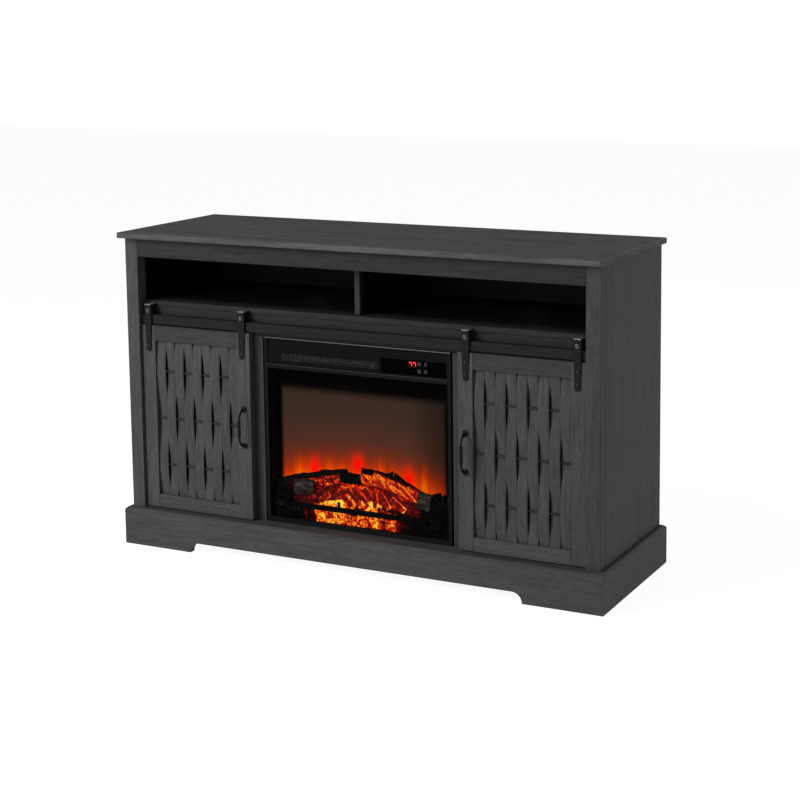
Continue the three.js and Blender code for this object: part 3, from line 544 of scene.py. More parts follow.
@finish("stick", "stick_glow", 0.05, Emission_Strength=1.0)
def glowing_stick(graph):
    """A split stick: dark on its face, bright along its edges and at its foot."""
    _, _, z = graph.axes()
    rim = graph.node("ShaderNodeAttribute", out=2, attribute_name="rim")
    grain = graph.cloud(130, 3, 0.6)
    foot = 1 - graph.step(z, FOOT_HEIGHT, FOOT_HEIGHT + 24 * MM)
    worn = graph.step(graph.cloud(60), 0.36, 0.6)
    edge = graph.step(rim + 1.3 * (grain - 0.5), 0.34, 0.9) * (0.45 + 0.55 * worn)
    heat = 0.2 + 0.24 * graph.step(grain, 0.42, 0.64) * (0.4 + foot)
    heat = heat + edge * (0.42 + 0.12 * foot)
    return look(
        graph.blend(grain, linear(5, 3, 3), linear(24, 14, 10)),
        0.85 + 0.2 * (grain - 0.5),
        graph.bump(grain, 0.7, 1.2 * MM),
        graph.ramp(EMBER_STOPS, graph.clamp(heat)),
    )


@finish("char", "charred_bark", 0.04)
def charred_bark(graph):
    """Bark that doesn't glow: black, with a few dull specks."""
    speck, cloud = graph.cloud(150, 3, 0.65), graph.cloud(40)
    spots = graph.step(speck, 0.55, 0.72) * graph.step(cloud, 0.4, 0.6)
    return look(
        graph.blend(spots, linear(4, 4, 3), linear(50, 54, 44)),
        0.9 + 0.15 * (speck - 0.5),
        graph.bump(speck + cloud, 0.8, 1.6 * MM),
    )


@finish("ash", "ashen_log_end", 0.1)
def ash_wood(graph):
    """The pale grey ends of the logs, with grain."""
    stops = [(0.34, linear(18, 15, 13)), (0.52, linear(44, 38, 33)), (0.7, linear(86, 80, 71))]
    grain = graph.noise(graph.place((26, 40, 120)), 1.0, 4, 0.7, 0.5)
    spots = graph.cloud(90, 3)
    return look(
        graph.blend(spots * 0.5, graph.ramp(stops, grain), linear(28, 20, 17)),
        0.85 + 0.1 * (spots - 0.5),
        graph.bump(grain, 0.6, 1.2 * MM),
    )


@finish("ember", "ember_bed_glow", 0.03, Emission_Strength=1.05)
def embers(graph):
    """Coals of their own heat each, dark where they meet, brightest at the foot of the sticks."""
    x, _, z = graph.axes()
    place = jittered(graph, graph.place(), 120, 9 * MM)
    coals = graph.node("ShaderNodeTexVoronoi", {"Vector": place, "Scale": 88.0})
    own = graph.node("ShaderNodeSeparateColor", {0: coals.other("Color")})
    core = 1 - graph.step(coals, 0.3, 0.74)
    drift = graph.cloud(20)
    patch = graph.cloud(58, 2, 0.5, 1.2)
    ash = graph.cloud(120, 3, 0.62, 1.8)
    wander = x + (drift - 0.5) * (70 * MM)
    hearth = graph.within(wander, *EMBER_HOT)
    dim = 0.32 * graph.within(wander, *EMBER_DIM)
    heat = 0.38 + core * (0.4 * own - 0.08) + 1.5 * (drift - 0.5)
    heat = heat + 1.7 * (patch - 0.5) + 2.2 * (ash - 0.5) + 0.24 * graph.bell(x, *HOTTEST)
    foot = 0.5 * graph.bell(z, FOOT_HEIGHT + 4 * MM, 8 * MM)
    heat = graph.math("MAXIMUM", hearth, dim) * (heat + foot * hearth)
    heat = heat * (1 - 0.7 * graph.step(z, 184 * MM, 200 * MM))
    return look(
        graph.blend(core, linear(4, 3, 3), linear(20, 14, 12)),
        0.85 + 0.15 * (ash - 0.5),
        graph.bump(core + 0.4 * ash, 0.7, 2 * MM),
        graph.ramp(EMBER_STOPS, graph.clamp(heat)),
    )


# finish: (name, way of the grain, shift of the grain, shade of the coat, which is painted light
# above 1 and painted shade below 1, contrast of the bands), and for the shelf also its edge shade
# and the depths of its painted inside shade
WOODS = {
    "wood_x": ("across", "x"),
    # Painted light: the top, the doors' foot rails and the long shelf are painted lighter than the
    # plain coat
    "top_x": ("top", "x", (1.1, 0.3, 0.2), 1.2, 1.9),
    "wood_x2": ("rails", "x", (3.1, 7.7, 1.9), 1.12),
    # Painted shade: the doors' head rails, the rods, the right post, the top rail, the door rail,
    # the recessed rails and stiles, the divider and the inner shelves are painted darker where
    # shade falls on them
    "door_top_x": ("door_top", "x", (5.9, 3.4, 7.2), 0.66),
    "rod_x": ("rods", "x", (3.1, 7.7, 1.9), 0.42),
    "post_z": ("right_post", "z", (7.5, 0.6, 3.3), 0.86),
    "shaded_x": ("top_rail", "x", (2.6, 8.8, 4.2), 0.42),
    "shelf_x": ("long_shelf", "x", (4.6, 2.8, 0.2), 1.1, 0.5, 0.34, SHELF_SHADE_DEPTHS),
    "rail_x": ("door_rail", "x", (8.1, 1.6, 3.4), 0.175),
    "recess_x": ("recess_rails", "x", (0.7, 5.1, 6.3), 0.36),
    "recess_z": ("recess_stiles", "z", (6.2, 1.2, 0.4), 0.66),
    "wood_z": ("upright", "z"),
    "divider_z": ("divider", "z", (2.3, 6.6, 1.7), 0.7),
    "wood_z2": ("stiles", "z", (5.3, 2.2, 8.4)),
    "slat": ("slats", "z", (9.4, 4.1, 2.6)),
    "inner_shelf_x": ("shelves", "x", (1.7, 3.3, 6.1), 0.4),
    "plinth_y": ("plinth_sides", "y", (4.4, 0.9, 2.3)),
}

for key, (name, *rest) in WOODS.items():
    FINISH[key] = wood(f"charcoal_wood_{name}", *rest)
FINISH.update({
    "iron": dark_iron("black_iron", (16, 16, 16), 0.55, 0.1, 0.12),
    "pull_iron": dark_iron("oiled_iron_pull", (22, 22, 22), 0.34, 0.8),
    "edge_iron": dark_iron("worn_iron_edge", (60, 60, 60), 0.36, 0.85),
    # Painted highlights: the hanger caps' light iron, and the lighter strip along their top edge,
    # stand for the light they catch
    "cap_highlight_iron": dark_iron("painted_highlight_iron_cap", (104, 104, 104), 0.34, 0.15),
    "cap_top_highlight": plain_coat("painted_highlight_iron_edge", (128, 128, 128), 0.35, 0.2),
    "steel": plain_coat("black_sheet_steel", (12, 12, 12), 0.6, 0.1, 0.15),
    "soot": plain_coat("sooty_iron", (3, 3, 3), 0.8, 0.0, 0.05),
    "trim": plain_coat("trim_strip", (15, 15, 15), 0.45, 0.0, 0.05),
    # Painted highlight: the light grey line along the bezel's top edge
    "top_edge_highlight": plain_coat("painted_top_edge_highlight", (82, 82, 82), 0.4, 0.3),
    "dull_trim": plain_coat("dull_trim_line", (46, 46, 46), 0.4, 0.1, 0.1),
    "gloss": plain_coat("black_gloss", (1, 1, 1), 0.25, 0.0, 0.008, 900),
    "icon": lit_sign("button_icon", (150, 150, 150), 0.3),
    "digit": lit_sign("display_digit", (255, 48, 48), 2.2),
    "display": plain_coat("display_window", (44, 5, 5), 0.3, 0.0, 0.03),
    "left_bark": glowing_log(
        "left_bark_glow", (243, 0.22), (20, 8, 0.22), heat=1.0, lit=(-40, 14), hot=0.8, base=0.22,
    ),
    "left_under": glowing_log(
        "left_under_glow", (208, 0.24), (28, 8, 0.24), heat=0.54, lit=(-30, 40), hot=0.0, base=0.24,
        behind_sticks=0.6,
    ),
    "right_split": glowing_log(
        "split_log_glow", (245, -0.28), (30, 5, -0.85), heat=1.0, lit=(-22, 27), hot=0.9, base=0.4,
    ),
    "right_under": glowing_log(
        "right_under_glow", (207, -0.14), (34, 8, -0.14), heat=0.68, lit=(-30, 40), hot=0.1,
        base=0.26, behind_sticks=0.8,
    ),
    "rubber": plain_coat("black_rubber", (16, 16, 16), 0.8),
})

# The CAD nodes that stay, with their finishes
KEPT = {
    "top_x": ("top_panel",),
    "wood_x": ("plinth_front", "plinth_back", "bottom_panel"),
    "plinth_y": ("plinth_left", "plinth_right"),
    "shelf_x": ("shelf_board",),
    "inner_shelf_x": ("left_cabinet_shelf", "right_cabinet_shelf"),
    "shaded_x": ("top_rail",),
    "rail_x": ("door_rail",),
    "recess_x": ("fascia_rail",),
    "recess_z": ("left_inner_stile", "right_inner_stile"),
    "wood_z": ("left_side_panel", "right_side_panel", "left_pillar"),
    "post_z": ("right_pillar",),
    "divider_z": ("shelf_divider",),
    "wood_z2": ("left_partition", "right_partition"),
    "back": ("back_panel",),
    "steel": ("firebox_shell",),
    "bezel": ("firebox_bezel",),
    "gloss": ("control_panel",),
    "display": ("display_module",),
    "glass": ("firebox_glass",),
    "screen": ("flame_screen",),
    "zinc": ("flame_spinner", "spinner_motor", "blower_wheel", "blower_motor", "heating_element"),
    "rubber": ("cord_gland",),
}


def paint(obj, made):
    obj.data.materials.clear()
    obj.data.materials.append(made)


for finish_name, nodes in KEPT.items():
    for node_name in nodes:
        paint(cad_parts[node_name], FINISH[finish_name])

# Pieces and their meshes


def in_scene(name, data):
    obj = bpy.data.objects.new(name, data)
    bpy.context.scene.collection.objects.link(obj)
    return obj


def mesh_of(name, bm):
    """The mesh of a bmesh, with its faces turned outwards."""
    bmesh.ops.recalc_face_normals(bm, faces=bm.faces)
    mesh = bpy.data.meshes.new(name)
    bm.to_mesh(mesh)
    bm.free()
    return mesh


def add_piece(obj, body, replaces, smooth):
    """Makes an object a piece that rides on a body and stands for the CAD nodes it replaces."""
    if smooth:
        obj.data.shade_smooth()
    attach(obj, body)
    if replaces:
        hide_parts(*replaces)


def piece(name, bm, finish, body, replaces=(), smooth=False):
    obj = in_scene(name, mesh_of(name, bm))
    paint(obj, FINISH[finish])
    add_piece(obj, body, replaces, smooth)


def add_box(bm, low, high, round_by, segments=2):
    """A box with rounded edges, added to a bmesh."""
    low, high = Vector(low), Vector(high)
    verts = bmesh.ops.create_cube(bm, size=1.0)["verts"]
    size, middle = high - low, (low + high) / 2
    for vert in verts:
        vert.co = Vector(vert.co[i] * size[i] + middle[i] for i in range(3))
    ease(bm, {edge for vert in verts for edge in vert.link_edges}, round_by, segments)


def ease(bm, edges, round_by, segments=2):
    bmesh.ops.bevel(
        bm, geom=list(edges), offset=round_by, segments=segments, profile=0.5, affect="EDGES",
    )


def box_piece(name, spans, round_by, finish, body, replaces=(), segments=2):
    """A piece of boxes, each given by its low and high corner."""
    bm = bmesh.new()
    for low, high in spans:
        add_box(bm, low, high, round_by, segments)
    piece(name, bm, finish, body, replaces)


def angles(count):
    return [2 * math.pi * i / count for i in range(count)]


def add_ring(bm, places):
    return [bm.verts.new(place) for place in places]


def join_rings(bm, rings, closed=False):
    """Faces between rings, of which one can be a single point. Closed puts a face on both ends."""
    for one, two in zip(rings, rings[1:]):
        count = max(len(one), len(two))
        for i in range(count):
            j = (i + 1) % count
            if len(one) == 1:
                bm.faces.new((one[0], two[i], two[j]))
            elif len(two) == 1:
                bm.faces.new((one[i], one[j], two[0]))
            else:
                bm.faces.new((one[i], one[j], two[j], two[i]))
    if closed:
        bm.faces.new(list(reversed(rings[0])))
        bm.faces.new(rings[-1])


def add_lathe(bm, profile, place, axis, sides):
    """Turns (radius, distance) pairs round an axis through place."""
    turn = Vector((0, 0, 1)).rotation_difference(Vector(axis)).to_matrix()
    rings = []
    for radius, along in profile:
        spots = [(radius * math.cos(a), radius * math.sin(a), along) for a in angles(sides)]
        if radius == 0:
            spots = spots[:1]
        rings.append(add_ring(bm, [Vector(place) + turn @ Vector(spot) for spot in spots]))
    join_rings(bm, rings)


def in_metres(values):
    return [tuple(part * MM for part in value) for value in values]


def add_tube(bm, points, radii, sides):
    """A closed tube through points, with one radius at each of them."""
    points = [Vector(point) for point in points]
    rings = []
    side = None
    for i, point in enumerate(points):
        ahead = points[min(i + 1, len(points) - 1)] - points[max(i - 1, 0)]
        ahead.normalize()
        if side is None:
            side = ahead.orthogonal().normalized()
        side = (side - ahead * side.dot(ahead)).normalized()
        up = ahead.cross(side)
        rings.append(add_ring(bm, [
            point + (side * math.cos(a) + up * math.sin(a)) * radii[i] for a in angles(sides)
        ]))
    join_rings(bm, rings, closed=True)
    return rings


# Geometry trees


class Pattern:
    """A geometry tree with named inputs that ends in one finish."""

    def __init__(self, name, **inputs):
        self.group = bpy.data.node_groups.new(name, "GeometryNodeTree")
        self.graph = Graph(self.group)
        self.sockets = {}
        face = self.group.interface
        for way in ("INPUT", "OUTPUT"):
            face.new_socket("Geometry", in_out=way, socket_type="NodeSocketGeometry")
        for label, kind in {**inputs, "Finish": "Material"}.items():
            made = face.new_socket(label, in_out="INPUT", socket_type=f"NodeSocket{kind}")
            self.sockets[label] = made.identifier
        self.start = self.group.nodes.new("NodeGroupInput")

    def given(self, label):
        return Link(self.graph, self.start.outputs[label])

    def end(self, geometry):
        whole = self.graph.node("GeometryNodeRealizeInstances", {0: geometry})
        inputs = {0: whole, "Material": self.given("Finish")}
        self.graph.show(self.graph.node("GeometryNodeSetMaterial", inputs), "NodeGroupOutput")

    def on_points(self, points, instance, **inputs):
        inputs = {"Points": points, "Instance": instance, **inputs}
        return self.graph.node("GeometryNodeInstanceOnPoints", inputs)

    def shape_of(self, label):
        return self.graph.node("GeometryNodeObjectInfo", {"Object": self.given(label)}, "Geometry")

    def random(self, low, high, seed):
        """A random number, or a random vector where low and high are vectors."""
        kind, first, out = ("FLOAT_VECTOR", 0, 0) if isinstance(low, tuple) else ("FLOAT", 2, 1)
        inputs = {first: low, first + 1: high, "Seed": seed}
        return self.graph.node("FunctionNodeRandomValue", inputs, out, data_type=kind)

    def make(self, name, finish, body, slot, replaces=(), carrier=None, smooth=False, **values):
        """Runs the tree on a carrier mesh and makes the plain result a piece."""
        holder = in_scene(name + "_holder", carrier or bpy.data.meshes.new(name + "_carrier"))
        modifier = holder.modifiers.new("pattern", "NODES")
        modifier.node_group = self.group
        for label, value in {**values, "Finish": FINISH[finish]}.items():
            modifier[self.sockets[label]] = value
        holder.update_tag()
        graph = bpy.context.evaluated_depsgraph_get()
        graph.update()
        mesh = bpy.data.meshes.new_from_object(holder.evaluated_get(graph))
        mesh.name = name
        bpy.data.objects.remove(holder)
        add_piece(in_scene(name, mesh), body, replaces, smooth)


def mesh_from(name, points, faces=()):
    mesh = bpy.data.meshes.new(name)
    mesh.from_pydata([tuple(point) for point in points], [], faces)
    return mesh


def make_slat_pattern():
    """Slats side by side that weave in front of and behind the rods in turn."""
    sizes = "Pitch Width Thickness Height Left Middle Centre Reach RowPitch".split()
    pattern = Pattern("woven_slats", Count="Int", **{label: "Float" for label in sizes})
    graph, given = pattern.graph, pattern.given
    size = graph.vector(given("Width"), given("Thickness"), given("Height"))
    slat = graph.node("GeometryNodeMeshCube", {
        "Size": size, "Vertices X": 9, "Vertices Y": 3, "Vertices Z": 121,
    })
    x, y, z = graph.parts(graph.node("GeometryNodeInputPosition"))
    rounding = 1 - 0.55 * (graph.math("ABSOLUTE", x) * 2 / given("Width")) ** 8
    wave = graph.math("COSINE", z * math.pi / given("RowPitch")) * given("Reach")
    moved = graph.vector(x, y * rounding + wave, z)
    slat = graph.node("GeometryNodeSetPosition", {0: slat, "Position": moved})
    start = graph.vector(given("Left") + 0.5 * given("Width"), given("Middle"), given("Centre"))
    row = graph.node("GeometryNodeMeshLine", {
        "Count": given("Count"), "Start Location": start, "Offset": graph.vector(given("Pitch")),
    })
    half_turn = graph.math("MODULO", graph.node("GeometryNodeInputIndex"), 2) * math.pi
    pattern.end(pattern.on_points(row, slat, Rotation=graph.vector(z=half_turn)))
    return pattern


def make_stud_pattern():
    """One small fitting, such as a screw, on each point of the carrier, spun at random."""
    pattern = Pattern("studs", Fitting="Object", Facing="Vector", Seed="Int", Size="Float")
    graph, given = pattern.graph, pattern.given
    spin = pattern.random(0.0, math.pi, given("Seed"))
    facing = graph.node("FunctionNodeEulerToRotation", {0: given("Facing")})
    size = graph.vector(given("Size"), given("Size"), given("Size"))
    studs = pattern.on_points(
        given("Geometry"), pattern.shape_of("Fitting"), Rotation=facing, Scale=size,
    )
    pattern.end(graph.node("GeometryNodeRotateInstances", {
        0: studs, "Rotation": graph.vector(z=spin), "Local Space": True,
    }))
    return pattern


def make_mesh_pattern():
    """A flat mesh of upright and level wires."""
    corners, counts = {"Low": "Vector", "High": "Vector"}, {"Across": "Int", "Up": "Int"}
    pattern = Pattern("wire_mesh", **corners, **counts, Wire="Float", Depth="Float")
    graph, given = pattern.graph, pattern.given
    low, high = graph.parts(given("Low")), graph.parts(given("High"))
    middle = [(a + b) * 0.5 for a, b in zip(low, high)]
    wide, tall = high[0] - low[0], high[2] - low[2]
    wire, depth = given("Wire"), given("Depth")
    joined = graph.node("GeometryNodeJoinGeometry")
    for count, run, span, size in (
        (given("Across"), 0, wide, (wire, depth, tall)),
        (given("Up"), 2, tall, (wide, depth, wire)),
    ):
        start, step = list(middle), [0.0, 0.0, 0.0]
        start[run] = low[run]
        step[run] = span / (count - 1)
        line = graph.node("GeometryNodeMeshLine", {
            "Count": count, "Start Location": graph.vector(*start), "Offset": graph.vector(*step),
        })
        bar = graph.node("GeometryNodeMeshCube", {"Size": graph.vector(*size)})
        graph.feed(joined.socket.node.inputs[0], pattern.on_points(line, bar))
    pattern.end(joined)
    return pattern


def make_coal_pattern():
    """Coals scattered over the carrier mesh, each turned and sized at random."""
    pattern = Pattern(
        "coals", Coal="Object", Seed="Int", Crowding="Float", Smallest="Float", Largest="Float",
    )
    graph, given = pattern.graph, pattern.given
    seed = given("Seed")
    points = graph.node("GeometryNodeDistributePointsOnFaces", {
        "Mesh": given("Geometry"), "Density": given("Crowding"), "Seed": seed,
    })
    turn = pattern.random((0, 0, 0), (6.2, 6.2, 6.2), seed + 1)
    size = pattern.random(given("Smallest"), given("Largest"), seed + 2)
    pattern.end(pattern.on_points(
        points, pattern.shape_of("Coal"), Rotation=turn, Scale=graph.vector(size, size, size),
    ))
    return pattern


SLATS = make_slat_pattern()
STUDS = make_stud_pattern()
WIRE_MESH = make_mesh_pattern()
COALS = make_coal_pattern()
SPARES = []


def spare(name, bm, smooth=False):
    """A small shape that a pattern repeats. It isn't shown itself and is removed at the end."""
    obj = in_scene(name, mesh_of(name, bm))
    if smooth:
        obj.data.shade_smooth()
    SPARES.append(obj)
    return obj


SCREW_RADIUS = 3 * MM
SCREW_RISE = 1.5 * MM
SCREW_SIDES = 24
# Shares of the radius and of the rise, from the foot of the head to the edge of its recess
SCREW_PROFILE = ((1.0, 0.0), (1.0, 0.35), (0.86, 0.75), (0.62, 0.98), (0.55, 1.0))
# Shares of the recess's radius and of the rise, at its mouth and at its floor
RECESS_PROFILE = ((1.0, 1.0), (0.85, 0.45))


def screw_head():
    """A domed head with a crossed recess, that faces +Z."""

    def ring(radius, rise, shape):
        return add_ring(bm, [
            (radius * shape(a) * math.cos(a), radius * shape(a) * math.sin(a), rise * SCREW_RISE)
            for a in angles(SCREW_SIDES)
        ])

    bm = bmesh.new()
    rings = [ring(share * SCREW_RADIUS, rise, lambda a: 1.0) for share, rise in SCREW_PROFILE]
    for share, rise in RECESS_PROFILE:
        radius = 0.5 * SCREW_RADIUS * share
        rings.append(ring(radius, rise, lambda a: 0.42 + 0.58 * abs(math.cos(2 * a)) ** 3))
    join_rings(bm, rings, closed=True)
    return spare("screw_head", bm, True)


SCREW = screw_head()
FACING_FRONT = Euler((math.pi / 2, 0, 0))
FACING_BACK = Euler((-math.pi / 2, 0, 0))

# Doors

WEAVE_SLATS = 9
SLAT_GAP = 0.3 * MM
SLAT_THICK = 3.2 * MM
SLAT_CLEAR = 0.15 * MM
SLAT_LET_IN = 6 * MM
STILE_WIDTH = 40 * MM
TOP_RAIL = 41 * MM
BOTTOM_RAIL = 36 * MM
RAIL_SET_IN = 0.25 * MM
FRAME_EASE = 1.2 * MM
ROW_SHARE = 0.3024
ROD_RADIUS = 2.6 * MM


def make_door(side):
    door = f"{side}_door"
    low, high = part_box(door)
    left, right = low.x + STILE_WIDTH, high.x - STILE_WIDTH
    bottom, top = low.z + BOTTOM_RAIL, high.z - TOP_RAIL
    front, back = low.y + RAIL_SET_IN, high.y - RAIL_SET_IN
    for name, finish, spans in (
        ("stiles", "wood_z2", [(low, (left, high.y, high.z)), ((right, low.y, low.z), high)]),
        ("foot_rail", "wood_x2", [((left, front, low.z), (right, back, bottom))]),
        ("head_rail", "door_top_x", [((left, front, top), (right, back, high.z))]),
    ):
        box_piece(f"{door}_{name}", spans, FRAME_EASE, finish, door, [door])
    pitch = (right - left - SLAT_GAP) / WEAVE_SLATS
    height = top - bottom
    SLATS.make(
        f"{door}_slats", "slat", door, "charcoal_wood", [door], smooth=True,
        Count=WEAVE_SLATS, Pitch=pitch, Width=pitch - SLAT_GAP, Thickness=SLAT_THICK,
        Height=height + 2 * SLAT_LET_IN, Left=left + SLAT_GAP, Middle=(low.y + high.y) / 2,
        Centre=(bottom + top) / 2, Reach=ROD_RADIUS + SLAT_CLEAR + SLAT_THICK / 2,
        RowPitch=height * ROW_SHARE,
    )


def make_rod(side, row):
    node = f"{side}_{row}_rod"
    low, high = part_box(node)
    middle = (low + high) / 2
    length, radius = high.x - low.x, ROD_RADIUS
    start = [(0, 0), (0.8 * radius, 0), (radius, 0.3 * radius)]
    profile = start + [(r, length - along) for r, along in reversed(start)]
    bm = bmesh.new()
    add_lathe(bm, profile, (low.x, middle.y, middle.z), (1, 0, 0), 28)
    piece(node + "_round", bm, "rod_x", f"{side}_door", [node], True)


# Handles: a bent bar with a grip between two collars, on two round plates

ARM_RADIUS = 2.7 * MM
GRIP_RADIUS = 4.6 * MM
COLLAR_RADIUS = 5.4 * MM
COLLAR_HALF = 1.2 * MM
HANDLE_SPACING = 97 * MM
BEND_SHARE = 0.28
BEND_STEPS = 28
GRIP_STEPS = 24
# Places along the collar from -1 to 1, and the radii there
COLLAR = (
    (-1.0, ARM_RADIUS), (-0.9, COLLAR_RADIUS * 0.9), (0.0, COLLAR_RADIUS),
    (0.9, COLLAR_RADIUS * 0.9), (1.0, GRIP_RADIUS * 0.82),
)
# Radii and distances from the door, in millimetres
ROSETTE = (
    (0, 0), (8.2, 0), (8.6, 0.8), (8.2, 1.6), (6.6, 1.9), (6.2, 2.6), (5.2, 3.0), (4.2, 3.2),
    (3.6, 4.4), (2.9, 5.0), (0, 5.0),
)


def make_handle(side):
    node = f"{side}_handle"
    low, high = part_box(node)
    door_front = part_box(f"{side}_door")[0].y
    middle = (low + high) / 2
    grip_y = low.y + COLLAR_RADIUS
    foot = door_front - 1.5 * MM
    half = HANDLE_SPACING / 2
    bend = BEND_SHARE * HANDLE_SPACING
    grip_half = half - bend
    # y, height from the middle and radius, from the lower foot to the middle of the grip
    line = []
    for i in range(BEND_STEPS):
        a = math.pi / 2 * i / BEND_STEPS
        y = foot + (grip_y - foot) * math.sin(a)
        line.append((y, -half + bend * (1 - math.cos(a)), ARM_RADIUS * (1.12 - 0.12 * math.sin(a))))
    for share, radius in COLLAR:
        line.append((grip_y, -grip_half + COLLAR_HALF * (1 + share), radius))
    collar_from = -grip_half + 2 * COLLAR_HALF
    for i in range(1, GRIP_STEPS // 2):
        t = i / GRIP_STEPS
        radius = GRIP_RADIUS * (0.82 + 0.18 * math.sin(math.pi * t))
        line.append((grip_y, collar_from * (1 - 2 * t), radius))
    line += [(y, -z, radius) for y, z, radius in reversed(line)]
    bm = bmesh.new()
    points = [(middle.x, y, middle.z + z) for y, z, _ in line]
    add_tube(bm, points, [radius for *_, radius in line], 24)
    for end in (-half, half):
        plate = (middle.x, door_front - 0.2 * MM, middle.z + end)
        add_lathe(bm, in_metres(ROSETTE), plate, (0, -1, 0), 40)
    piece(node + "_pull", bm, "pull_iron", f"{side}_door", [node], True)


# Hangers: a tapered strap with a cap and a back leg, a bolt and two screws

STRAP_THICK = 3 * MM
STRAP_TIP = 14 * MM
TIP_STEPS = 16
CAP_THICK = 3 * MM
PIN_RADIUS = 4 * MM
PIN_REACH = 0.3 * MM
SCREW_DROPS = (23 * MM, 53.5 * MM)
# Radii and distances from the strap, in millimetres
BOLT_HEAD = (
    (0, 0), (7.4, 0), (7.4, 0.5), (6.2, 0.6), (6.2, 1.6), (5.4, 2.3), (3.0, 2.6), (2.4, 2.1),
    (0, 2.1),
)


def make_hanger(side, place):
    node, body = f"{side}_{place}_hanger", f"{side}_door"
    low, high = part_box(node)
    wheel_low, wheel_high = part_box(f"{side}_{place}_wheel")
    door_low, door_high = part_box(body)
    x = (low.x + high.x) / 2
    axle = (wheel_low.z + wheel_high.z) / 2
    back = door_low.y - 0.3 * MM
    front = back - STRAP_THICK

    strap = bmesh.new()
    add_strap(strap, x, (high.x - low.x) / 2, low.z, door_high.z, high.z, front, back)
    leg_low = (low.x, high.y - STRAP_THICK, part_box("door_rail")[1].z + 2 * MM)
    add_box(strap, leg_low, (high.x, high.y, high.z - CAP_THICK + 0.2 * MM), 0.7 * MM)
    pin_long = high.y - STRAP_THICK - back + 2 * PIN_REACH
    pin = [(0, 0), (PIN_RADIUS, 0), (PIN_RADIUS, pin_long), (0, pin_long)]
    add_lathe(strap, pin, (x, back - PIN_REACH, axle), (0, 1, 0), 24)
    piece(node + "_strap", strap, "iron", body, [node])

    # Painted highlight: the cap is a light iron, with a lighter strip along its front top edge
    # where it catches the light
    cap = ((low.x, front, high.z - CAP_THICK), high)
    box_piece(node + "_cap", [cap], 0.9 * MM, "cap_highlight_iron", body, [node])
    edge = (
        (low.x + 1.2 * MM, front - 0.15 * MM, high.z - 2.5 * MM),
        (high.x - 1.2 * MM, front + 0.5 * MM, high.z - 0.3 * MM),
    )
    box_piece(node + "_cap_edge", [edge], 0.1 * MM, "cap_top_highlight", body)

    bolt = bmesh.new()
    add_lathe(bolt, in_metres(BOLT_HEAD), (x, front, axle), (0, -1, 0), 32)
    piece(node + "_bolt", bolt, "edge_iron", body, [node], True)
    spots = [(x, front + 0.1 * MM, door_high.z - drop) for drop in SCREW_DROPS]
    STUDS.make(
        node + "_screws", "edge_iron", body, "dark_iron", [node], mesh_from(node + "_spots", spots),
        Fitting=SCREW, Facing=FACING_FRONT, Seed=len(node), Size=0.85,
    )


def add_strap(bm, x, half, tip_z, taper_z, top_z, front, back):
    """A flat strap that narrows to a round tip, with eased edges."""
    radius = STRAP_TIP / 2
    outline = [(half, top_z), (-half, top_z), (-half, taper_z)]
    for i in range(TIP_STEPS + 1):
        a = math.pi + math.pi * i / TIP_STEPS
        outline.append((radius * math.cos(a), tip_z + radius + radius * math.sin(a)))
    outline.append((half, taper_z))
    face = bm.faces.new(add_ring(bm, [(x + u, back, z) for u, z in outline]))
    made = bmesh.ops.extrude_face_region(bm, geom=[face])
    moved = verts_in(made["geom"])
    bmesh.ops.translate(bm, vec=(0, front - back, 0), verts=moved)
    edges = {edge for vert in moved for edge in vert.link_edges}
    ease(bm, [edge for edge in edges if all(vert in moved for vert in edge.verts)], 0.6 * MM)


def verts_in(geometry):
    return [item for item in geometry if isinstance(item, bmesh.types.BMVert)]


WHEEL_TREAD = 10 * MM
WHEEL_BORE = 4.3 * MM
FLANGE_THICK = 1.8 * MM


def make_wheel(side, place):
    node = f"{side}_{place}_wheel"
    low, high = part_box(node)
    half, flange = (high.y - low.y) / 2, (high.z - low.z) / 2
    # radius, and depth from the outer face, from the bore to the tread
    to_tread = (
        (WHEEL_BORE, 0), (0.62 * flange, 0), (0.66 * flange, 0.6 * MM), (0.9 * flange, 0.6 * MM),
        (0.97 * flange, 0.2 * MM), (flange, 0.7 * MM), (flange, 0.55 * FLANGE_THICK),
        (WHEEL_TREAD + 0.8 * MM, FLANGE_THICK), (WHEEL_TREAD, FLANGE_THICK + 0.4 * MM),
    )
    profile = [(radius, depth - half) for radius, depth in to_tread]
    profile += [(radius, -along) for radius, along in reversed(profile)]
    bm = bmesh.new()
    add_lathe(bm, profile + profile[:1], (low + high) / 2, (0, 1, 0), 48)
    bmesh.ops.remove_doubles(bm, verts=bm.verts, dist=0.01 * MM)
    piece(node + "_turned", bm, "iron", node, [node])


for side in SIDES:
    make_door(side)
    for row in ("lower", "middle", "upper"):
        make_rod(side, row)
    make_handle(side)
    for place in ("inner", "outer"):
        make_hanger(side, place)
        make_wheel(side, place)

# Firebox front

BEZEL_RIM = 9 * MM
TRIM_PROUD = 0.9 * MM
STRIP_ABOVE_GLASS = -0.4 * MM
STRIP_TALL = 11 * MM
GRILLE_RIM = 2 * MM
WIRE_INSET = 1.5 * MM


def make_grille():
    low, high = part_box("vent_grille")
    rim, spans = GRILLE_RIM, []
    for z in (low.z, high.z - rim):
        spans.append(((low.x, low.y, z), (high.x, high.y, z + rim)))
    for x in (low.x, high.x - rim):
        spans.append(((x, low.y, low.z + rim), (x + rim, high.y, high.z - rim)))
    box_piece(
        "vent_grille_rim", spans, 0.3 * MM, "bezel", CABINET, ["vent_grille"], 1,
    )
    WIRE_MESH.make(
        "vent_grille_wires", "mesh", CABINET, "bezel_metal", ["vent_grille"],
        Low=low + Vector((WIRE_INSET, 0.2 * MM, WIRE_INSET)),
        High=high - Vector((WIRE_INSET, 1.2 * MM, WIRE_INSET)),
        Across=66, Up=6, Wire=1.6 * MM, Depth=0.9 * MM,
    )


